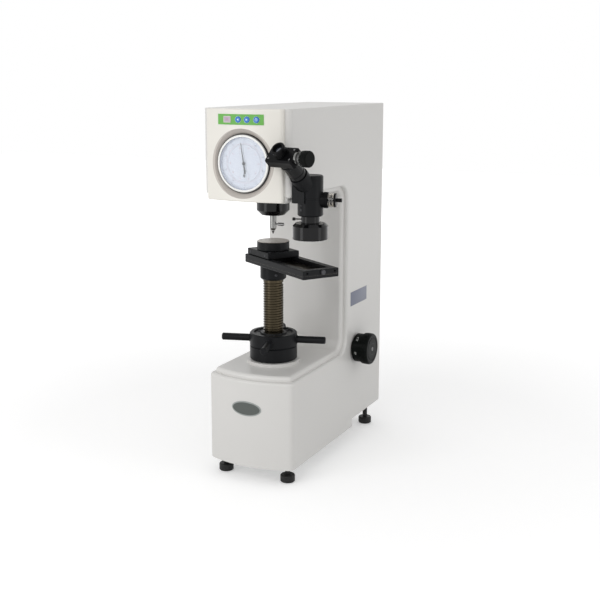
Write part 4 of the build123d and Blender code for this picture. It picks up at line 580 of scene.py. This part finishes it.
def display_print():
    """Two digits in the window, and its frame."""
    bm = bmesh.new()
    centre = middle("display_window")
    low, high = extent("display_window")
    width, height, bar = high.x - low.x, high.z - low.z, 1.3
    place = cover_place(centre.x, centre.z, WINDOW_SKIN)
    letters(bm, "05", moved(place, 0, 0, 0.02), 6.2)
    for side in (-1, 1):
        patch(bm, moved(place, 0, side * height * 0.44, 0), width, bar, 1)
        patch(bm, moved(place, side * width * 0.455, 0, 0), bar, height * 0.88, 1)
    piece("display_print", bm, "body", WINDOW_INK, WINDOW_FRAME)


def key_rings():
    """A fine pale ring on the strip round each key."""
    bm = bmesh.new()
    for name in ("key_left", "key_middle", "key_right"):
        centre = middle(name)
        ring_line(bm, cover_place(centre.x, centre.z, STRIP_SKIN), 5.9, 0.3)
    piece("key_rings", bm, "body", KEY_INK)


key_arrow("key_left", -1)
key_arrow("key_middle", 1)
key_round_sign("key_right")
display_print()
key_rings()


# ---- plate and badge --------------------------------------------------------------------------
def side_plate():
    """The bare plate on the right side."""
    bm = bmesh.new()
    width, height, thickness = 84, 29, 0.4
    centre = (extent("body_casting")[1].x, 212, 307)
    slab(bm, placed(centre, RIGHT, BACK), width, height, thickness, 0.15)
    piece("side_plate", bm, "body", LABEL)


def oval(bm, place, half_width, half_height, low, high, rim, mat=0, steps=72):
    """An oval button with a sloping rim that follows the base's bow."""
    verts, loops = [], []
    for grow, height in ((0, low), (0, high - rim), (-rim, high)):
        shape = Matrix.Diagonal((half_width + grow, half_height + grow, 1, 1))
        # the rings start at +X: from +Y the bent cap's triangles would dip under the base's front
        shape @= Matrix.Rotation(-math.pi / 2, 4, "Z")
        shape.translation = (0, 0, height)
        ring = bmesh.ops.create_circle(bm, cap_ends=height == high, segments=steps, radius=1, matrix=shape)
        verts += ring["verts"]
        loops.append({edge for vert in ring["verts"] for edge in vert.link_edges})
    for lower, upper in zip(loops, loops[1:]):
        bmesh.ops.bridge_loops(bm, edges=list(lower | upper))
    faces = list({face for vert in verts for face in vert.link_faces})
    for face in faces:
        face.material_index = mat
    bmesh.ops.recalc_face_normals(bm, faces=faces)
    for vert in verts:
        vert.co.z -= vert.co.x**2 / (2 * BASE_BOW_RADIUS)
    bmesh.ops.transform(bm, matrix=place, verts=verts)


def oval_badge():
    """The bare badge on the base's bowed front: a pale rim and a dark face."""
    bm = bmesh.new()
    place = bow_place(0.5, 145.5, BASE_BOW_RADIUS, extent("body_casting")[0].y + BASE_BOW_RADIUS)
    oval(bm, place, 31, 14.2, -0.2, 1.0, 0.5)
    oval(bm, place, 28.6, 11.8, 0.9, 1.15, 0.2, 1)
    piece("oval_badge", bm, "body", BADGE_RIM, BADGE)


side_plate()
oval_badge()


# ---- screws of the covers ---------------------------------------------------------------------
def screw_rows(name, points, facing, radius, height):
    """Cap screws on a flat face, at the given points."""
    bm = bmesh.new()
    for point in points:
        cap_screw(bm, placed(point, facing, RIGHT), radius, height)
    piece(name, bm, "body", SCREW_STEEL, INK_AND_SHADE)


def cover_screws():
    """The screws of the top cover, the rear cover, the bottom plate and the mains inlet."""
    sunk_top = extent("top_cover")[1].z - 0.2
    back = extent("rear_cover")[1].y
    under = extent("bottom_plate")[0].z
    inlet = middle("power_inlet")
    inlet_low, inlet_high = extent("power_inlet")
    top_points = [(x, y, sunk_top) for x in (-80, 80) for y in (-60, 60, 190, 315)]
    rear_points = [(x, back, z) for x in (-77, 77) for z in (60, 215, 372, 530, 684)]
    bottom_points = [(x, y, under) for x in (-68, 68) for y in (-50, 56, 163)]
    inlet_points = [(inlet.x, inlet_high.y, z) for z in (inlet_low.z + 3.5, inlet_high.z - 3.5)]
    screw_rows("top_screws", top_points, UP, 3.4, 0.15)
    screw_rows("rear_screws", rear_points, BACK, 3.4, 1.2)
    screw_rows("bottom_screws", bottom_points, DOWN, 3.0, 1.2)
    screw_rows("inlet_screws", inlet_points, BACK, 2.2, 0.8)


cover_screws()


# ---- load knob --------------------------------------------------------------------------------
KNOB_LOADS = ("60", "100", "150", "187.5", "30", "62.5")
KNOB_MIDDLE = middle("knob_number_ring")
KNOB_AXIS = placed((0, KNOB_MIDDLE.y, KNOB_MIDDLE.z), RIGHT, UP)
KNOB_HIGH = extent("load_knob", KNOB_AXIS)[1]
KNOB_RING_LOW, KNOB_RING_HIGH = extent("knob_number_ring", KNOB_AXIS)


def knob_numbers():
    bm = bmesh.new()
    for n, load in enumerate(KNOB_LOADS):
        angle = FULL_TURN * n / len(KNOB_LOADS) + math.radians(100)
        spot = around(KNOB_AXIS, angle, KNOB_RING_HIGH.x + 0.05, KNOB_RING_LOW.z + 9.5)
        letters(bm, load, spot @ Matrix.Rotation(-math.pi / 2, 4, "Z"), 6.2)
    piece("knob_numbers", bm, "load_knob", PALE_INK)


def knob_ribs():
    """The ribs round the grip."""
    ribs = 48
    bm = bmesh.new()
    grip_length = KNOB_HIGH.z - KNOB_RING_HIGH.z
    for n in range(ribs):
        angle = FULL_TURN * n / ribs
        spot = around(KNOB_AXIS, angle, KNOB_HIGH.x - 0.3, KNOB_RING_HIGH.z + grip_length / 2)
        slab(bm, spot, grip_length * 0.62, 1.8, 0.7, 0.3)
    piece("knob_ribs", bm, "load_knob", KNOB_PLASTIC)


def knob_face():
    """The screw in the middle of the knob's face, and two fine turned rings."""
    face = moved(KNOB_AXIS, 0, 0, KNOB_HIGH.z)
    bm = bmesh.new()
    cap_screw(bm, face, 4.0, 0.6)
    piece("knob_screw", bm, "load_knob", SCREW_STEEL, INK_AND_SHADE)
    bm = bmesh.new()
    ring_line(bm, moved(face, 0, 0, 0.05), KNOB_HIGH.x - 7, 0.5)
    ring_line(bm, moved(face, 0, 0, 0.05), KNOB_HIGH.x - 20, 0.4)
    piece("knob_rings", bm, "load_knob", DARK_STEEL)


knob_numbers()
knob_ribs()
knob_face()


# ---- handwheel and stage ----------------------------------------------------------------------
RAIL = placed((0, 0, 0), UP, heading(RAIL_BEARING))
TABLE_LOW, TABLE_HIGH = extent("slide_table", RAIL)


def rod_collars():
    """The collars in which the four rods are screwed into the handwheel."""
    rod_z, rim = middle("handwheel_rods").z, extent("handwheel")[1].x - 0.6
    bm = bmesh.new()
    for n in range(4):
        out = heading(FULL_TURN * n / 4 + math.radians(17))
        spot = placed(out * rim + Vector((0, 0, rod_z)), out, UP)
        lathe(bm, [(7.05, 0), (8.4, 0.3), (8.4, 1.4), (7.05, 1.8)], spot, 32)
    piece("rod_collars", bm, "handwheel", WHEEL_BLACK)


def handwheel_screws():
    """The three screws in the recess of the handwheel's top."""
    circle, recess = 31.5, 3
    bm = bmesh.new()
    height = Vector((0, 0, extent("handwheel")[1].z - recess))
    for n in range(3):
        out = heading(FULL_TURN * (n + 0.5) / 3)
        cap_screw(bm, placed(out * circle + height, UP, RIGHT), 2.4, 1.6)
    piece("handwheel_screws", bm, "handwheel", DARK_STEEL, INK_AND_SHADE)


def table_screws():
    bm = bmesh.new()
    for u in (-33, 33):
        for v in (-27, 27):
            cap_screw(bm, moved(RAIL, u, v, TABLE_HIGH.z - 0.1), 2.6, 0.5)
    piece("table_screws", bm, "stage", DARK_STEEL, INK_AND_SHADE)


def table_side_screws():
    bm = bmesh.new()
    front, right = RAIL.to_3x3() @ Vector(FRONT), RAIL.to_3x3() @ Vector(RIGHT)
    for u in (-28, 28):
        point = RAIL @ Vector((u, TABLE_LOW.y, TABLE_HIGH.z - 6))
        cap_screw(bm, placed(point, front, right), 2.2, 0.6)
    piece("table_side_screws", bm, "stage", DARK_STEEL, INK_AND_SHADE)


def anvil_lines():
    """Two turned lines round the anvil."""
    inner, outer = 30.6, 31.12
    bm = bmesh.new()
    for depth in (11, 6.5):
        place = moved(AXIS_PLACE, 0, 0, extent("anvil")[1].z - depth)
        lathe(bm, [(inner, 0), (outer, 0.3), (outer, 0.9), (inner, 1.2)], place, 72)
    piece("anvil_lines", bm, "stage", WHEEL_BLACK)


def hub_screw():
    """The screw that holds the rail's hub on the lifting screw."""
    hub_radius, height = 24.7, extent("rail_bed")[0].z + 11
    bm = bmesh.new()
    out = heading(math.radians(-50))
    cap_screw(bm, placed(out * hub_radius + Vector((0, 0, height)), out, UP), 2.6, 0.8)
    piece("hub_screw", bm, "screw", DARK_STEEL, INK_AND_SHADE)


rod_collars()
handwheel_screws()
table_screws()
table_side_screws()
anvil_lines()
hub_screw()


# ---- microscope -------------------------------------------------------------------------------
TUBE_AXIS = Matrix.Translation((middle("objective_ring").x, middle("objective_ring").y, 0))
SIGHT_X = heading(SIGHT_BEARING + math.pi / 2)
SIGHT_Z = heading(SIGHT_BEARING) * math.cos(SIGHT_RISE) + Vector((0, 0, math.sin(SIGHT_RISE)))
SIGHT = placed(TUBE_AXIS.translation + Vector((0, 0, SIGHT_ROOT_Z)), SIGHT_Z, SIGHT_X)


def objective_thumb_screw():
    """The pin with its round head that clamps the objective ring."""
    pin, head = 1.1, 2.9
    bm = bmesh.new()
    side = Vector((-0.96, -0.28, 0))
    root = TUBE_AXIS.translation + Vector((0, 0, extent("objective_ring")[1].z + 6.5))
    profile = [(0, 16.5), (pin, 16.5), (pin, 27), (2.6, 27.4), (head, 29), (head, 31.5), (2.3, 32.6)]
    lathe(bm, [*profile, (0, 32.8)], placed(root, side, UP), 20)
    piece("objective_thumb_screw", bm, "body", BLACK_GLOSS)


def ring_light():
    """The pale ring inside the objective ring."""
    inner, outer, height = 13.0, 20.6, 1.6
    bm = bmesh.new()
    profile = [(inner, 0), (outer, 0), (outer, height), (inner, height), (inner, 0)]
    lathe(bm, profile, moved(TUBE_AXIS, 0, 0, extent("objective_ring")[0].z + 11.5), 48)
    piece("ring_light", bm, "body", DIFFUSER)


def objective_lens():
    bm = bmesh.new()
    profile = [(0, 1.5), (5.9, 1.5), (5.9, 0.5), (4, 0.3), (0, 0.2)]
    lathe(bm, profile, moved(TUBE_AXIS, 0, 0, extent("objective")[0].z), 32)
    piece("objective_lens", bm, "body", LENS)


def tube_screws():
    """Three set screws one above another on the upright tube, each with a dark disc in it as painted shade
    of its socket.
    """
    bearing, tube_radius = math.radians(-112), 22.6
    bm = bmesh.new()
    bottom = extent("body_tube")[0].z
    for rise, radius, height in ((12, 2.1, 0.7), (20, 1.6, 0.6), (27, 1.6, 0.6)):
        spot = around(TUBE_AXIS, bearing, tube_radius, bottom + rise)
        disc(bm, spot, radius, height, 20, 0, 0.2)
        # painted shade: a small dark disc where the socket would be
        disc(bm, moved(spot, 0, 0, height), radius / 2, 0.04, 6, 1)
    piece("tube_screws", bm, "body", DARK_STEEL, INK_AND_SHADE)


def tube_rings():
    """Two raised rings round the slanted tube."""
    bm = bmesh.new()
    lathe(bm, [(15.0, 0), (16.0, 0.2), (16.0, 2.6), (15.0, 2.8)], moved(SIGHT, 0, 0, 78), 48)
    lathe(bm, [(15.0, 0), (15.6, 0.2), (15.6, 1.2), (15.0, 1.4)], moved(SIGHT, 0, 0, 52), 48)
    piece("tube_rings", bm, "body", WHEEL_BLACK)


def box_screws():
    """The four screws of the micrometer box's lid."""
    low, high = extent("micrometer_box", SIGHT)
    bm = bmesh.new()
    for x in (low.x + 8, high.x - 7):
        for y in (-10.5, 10.5):
            cap_screw(bm, moved(SIGHT, x, y, high.z), 1.9, 0.6)
    piece("box_screws", bm, "eyepiece_head", SCREW_STEEL, INK_AND_SHADE)


EYEPIECE_LOW, EYEPIECE_HIGH = extent("eyepiece", SIGHT)
EYE_GLASS_Z = EYEPIECE_HIGH.z - 5


def eye_glass():
    bm = bmesh.new()
    lathe(bm, [(6.9, -0.6), (4.5, 0.3), (0, 0.6)], moved(SIGHT, 0, 0, EYE_GLASS_Z), 32)
    piece("eye_glass", bm, "eyepiece", LENS)


def eyepiece_ribs():
    """The ribs round the eye lens's grip."""
    ribs = 36
    foot_radius = (EYEPIECE_HIGH.y - EYEPIECE_LOW.y) / 2 - 1.1
    grip_z = (extent("micrometer_box", SIGHT)[1].z + EYE_GLASS_Z) / 2
    bm = bmesh.new()
    for n in range(ribs):
        slab(bm, around(SIGHT, FULL_TURN * n / ribs, foot_radius, grip_z), 6, 1.0, 0.5, 0.2)
    piece("eyepiece_ribs", bm, "eyepiece", BLACK_PLASTIC)


DRUM_AXIS = placed(SIGHT @ Vector((0, 0, middle("micrometer_box", SIGHT).z)), SIGHT_X, SIGHT_Z)
DRUM_LOW, DRUM_HIGH = extent("micrometer_drum", DRUM_AXIS)
DRUM_RADIUS = (DRUM_HIGH.x - DRUM_LOW.x) / 2


def sleeve_lines():
    """The fine lines round the sleeve between the box and the drum."""
    line_step, line_width, inner, outer = 0.62, 0.2, 9.02, 9.06
    first = extent("micrometer_sleeve", DRUM_AXIS)[0].z + 4.6
    profile = [(inner, 0), (outer, 0.05), (outer, 0.16), (inner, line_width)]
    bm = bmesh.new()
    for n in range(int((DRUM_LOW.z - first) / line_step)):
        lathe(bm, profile, moved(DRUM_AXIS, 0, 0, first + n * line_step), 36)
    piece("sleeve_lines", bm, "eyepiece_head", INK_AND_SHADE)


def drum_ribs():
    ribs = 40
    start, end = DRUM_LOW.z + 5, DRUM_HIGH.z
    bm = bmesh.new()
    for n in range(ribs):
        spot = around(DRUM_AXIS, FULL_TURN * n / ribs, DRUM_RADIUS - 0.15, (start + end - 1.5) / 2)
        slab(bm, spot, end - start - 2, 1.2, 0.5, 0.2)
    piece("drum_ribs", bm, "drum", KNOB_PLASTIC)


def drum_marks():
    """Fifty divisions round the drum's near end, every fifth one longer."""
    marks = 50
    bm = bmesh.new()
    for n in range(marks):
        length = 2.6 if n % 5 == 0 else 1.6
        angle, height = FULL_TURN * n / marks, DRUM_LOW.z + 1.6 + length / 2
        patch(bm, around(DRUM_AXIS, angle, DRUM_RADIUS + 0.04, height), length, 0.24)
    piece("drum_marks", bm, "drum", PALE_INK)


def lamp_ribs():
    """The ribs round the lamp's housing, and the ring behind its window."""
    ribs = 28
    root = TUBE_AXIS.translation + Vector((0, 0, middle("lamp_house").z))
    lamp = placed(root, heading(LAMP_BEARING), UP)
    window_z = extent("lamp_window", lamp)[0].z
    bm = bmesh.new()
    for n in range(ribs):
        slab(bm, around(lamp, FULL_TURN * n / ribs, 13.9, window_z - 5), 6.5, 1.5, 0.6, 0.25)
    lathe(bm, [(4.1, 0), (9.5, 0.4), (9.5, 2.4), (4.1, 2.8)], moved(lamp, 0, 0, window_z + 3.5), 36)
    piece("lamp_ribs", bm, "body", BLACK_PLASTIC)


objective_thumb_screw()
ring_light()
objective_lens()
tube_screws()
tube_rings()
box_screws()
eye_glass()
eyepiece_ribs()
sleeve_lines()
drum_ribs()
drum_marks()
lamp_ribs()


# ---- mains switch -----------------------------------------------------------------------------
def switch_marks():
    """The plain round and straight marks on the rocker."""
    bm = bmesh.new()
    rocker = middle("power_switch")
    face = placed((rocker.x, extent("power_switch")[1].y + 0.05, rocker.z), BACK, LEFT)
    ring_line(bm, moved(face, 5.0, 0, 0), 2.0, 0.5)
    patch(bm, moved(face, -5.0, 0, 0), 0.6, 4.4)
    piece("switch_marks", bm, "power_switch", PALE_INK)


switch_marks()


# ---- floor, light and camera, in metres -------------------------------------------------------
FLOOR_HALF_SIDE, FLOOR_Z = 6, -0.001
GLOW_REACH = (0.6, 3.0)  # how far from the machine the floor's glow starts and stops rising
FLOOR_GLOW = (0.32, 0.85)  # and its strength there
WORLD_LIGHT = 0.68
LAMP_TARGET = Vector((0, 0, 0.35))


def seen_by_eye(nodes, links):
    """1 for rays from the camera, and for those that a shiny or clear surface sends on."""
    rays = nodes.new("ShaderNodeLightPath")
    total = rays.outputs["Is Camera Ray"]
    for other in ("Is Glossy Ray", "Is Transmission Ray"):
        add = nodes.new("ShaderNodeMath")
        add.operation = "ADD"
        add.use_clamp = True
        links.new(total, add.inputs[0])
        links.new(rays.outputs[other], add.inputs[1])
        total = add.outputs["Value"]
    return total


def glow_strength(m):
    """The floor's glow, which rises with the distance from the machine."""
    nodes, links = m.node_tree.nodes, m.node_tree.links
    away = nodes.new("ShaderNodeVectorMath")
    away.operation = "LENGTH"
    links.new(own_place(m), away.inputs[0])
    rise = nodes.new("ShaderNodeMapRange")
    rise.inputs["From Min"].default_value, rise.inputs["From Max"].default_value = GLOW_REACH
    rise.inputs["To Min"].default_value, rise.inputs["To Max"].default_value = FLOOR_GLOW
    links.new(away.outputs["Value"], rise.inputs["Value"])
    strength = nodes.new("ShaderNodeMath")
    strength.operation = "MULTIPLY"
    links.new(seen_by_eye(nodes, links), strength.inputs[0])
    links.new(rise.outputs["Result"], strength.inputs[1])
    return strength.outputs["Value"]


def floor_material():
    """A pale matt floor whose glow, seen by eye alone, makes up for the lamps' fall with distance."""
    m = bpy.data.materials.new("floor")
    m.use_nodes = True
    nodes, links = m.node_tree.nodes, m.node_tree.links
    shader = nodes["Principled BSDF"]
    shader.inputs["Base Color"].default_value = (0.82, 0.82, 0.82, 1)
    shader.inputs["Roughness"].default_value = 0.9
    shader.inputs["Specular IOR Level"].default_value = 0.1
    glow = nodes.new("ShaderNodeEmission")
    links.new(glow_strength(m), glow.inputs["Strength"])
    both = nodes.new("ShaderNodeAddShader")
    links.new(shader.outputs["BSDF"], both.inputs[0])
    links.new(glow.outputs["Emission"], both.inputs[1])
    links.new(both.outputs["Shader"], nodes["Material Output"].inputs["Surface"])
    return m


def floor():
    bm = bmesh.new()
    height = Matrix.Translation((0, 0, FLOOR_Z))
    bmesh.ops.create_grid(bm, x_segments=1, y_segments=1, size=FLOOR_HALF_SIDE, matrix=height)
    mesh = bpy.data.meshes.new("floor")
    bm.to_mesh(mesh)
    bm.free()
    mesh.materials.append(floor_material())
    obj = bpy.data.objects.new("floor", mesh)
    bpy.context.scene.collection.objects.link(obj)


def studio():
    """A white room: plain light on the machine, and pure white to the eye."""
    world = bpy.data.worlds.new("studio")
    bpy.context.scene.world = world
    world.use_nodes = True
    nodes, links = world.node_tree.nodes, world.node_tree.links
    nodes.clear()
    mix = nodes.new("ShaderNodeMixShader")
    links.new(seen_by_eye(nodes, links), mix.inputs["Fac"])
    for socket, strength in ((1, WORLD_LIGHT), (2, 1.0)):
        background = nodes.new("ShaderNodeBackground")
        background.inputs["Color"].default_value = (1, 1, 1, 1)
        background.inputs["Strength"].default_value = strength
        links.new(background.outputs["Background"], mix.inputs[socket])
    output = nodes.new("ShaderNodeOutputWorld")
    links.new(mix.outputs["Shader"], output.inputs["Surface"])


def lamp_panel(name, place, width, height, watts):
    """A soft rectangular lamp that faces the machine's middle."""
    data = bpy.data.lights.new(name, "AREA")
    data.shape = "RECTANGLE"
    data.size = width
    data.size_y = height
    data.energy = watts
    obj = bpy.data.objects.new(name, data)
    bpy.context.scene.collection.objects.link(obj)
    obj.location = place
    obj.rotation_euler = (LAMP_TARGET - Vector(place)).to_track_quat("-Z", "Y").to_euler()
    obj.visible_camera = False


def studio_camera():
    place = Vector((902.2, -1724.2, 762.0))  # in machine millimetres
    turn, pitch = math.radians(26.58), math.radians(10.82)
    image_side, focal_length = 600, 1030.87  # in pixels
    middle_x, middle_y = 291.69, 270.0  # the pixel at which the camera points
    sensor_width = 36
    data = bpy.data.cameras.new("camera")
    camera = bpy.data.objects.new("camera", data)
    bpy.context.scene.collection.objects.link(camera)
    camera.location = (place + LOADING_AXIS) * MM
    camera.rotation_euler = (math.pi / 2 - pitch, 0, turn)
    data.sensor_width = sensor_width
    data.lens = focal_length / image_side * sensor_width
    data.shift_x = (image_side / 2 - middle_x) / image_side
    data.shift_y = (middle_y - image_side / 2) / image_side
    data.clip_start = 0.05
    data.clip_end = 60
    bpy.context.scene.camera = camera


floor()
studio()
lamp_panel("front_softbox", (-0.62, -1.22, 0.55), 0.42, 1.05, 3.2)
lamp_panel("side_softbox", (1.32, -0.2, 0.62), 0.42, 1.2, 1.8)
lamp_panel("top_light", (-0.1, -2.1, 1.45), 1.6, 0.9, 8)
studio_camera()
bpy.context.scene.view_settings.view_transform = "Standard"
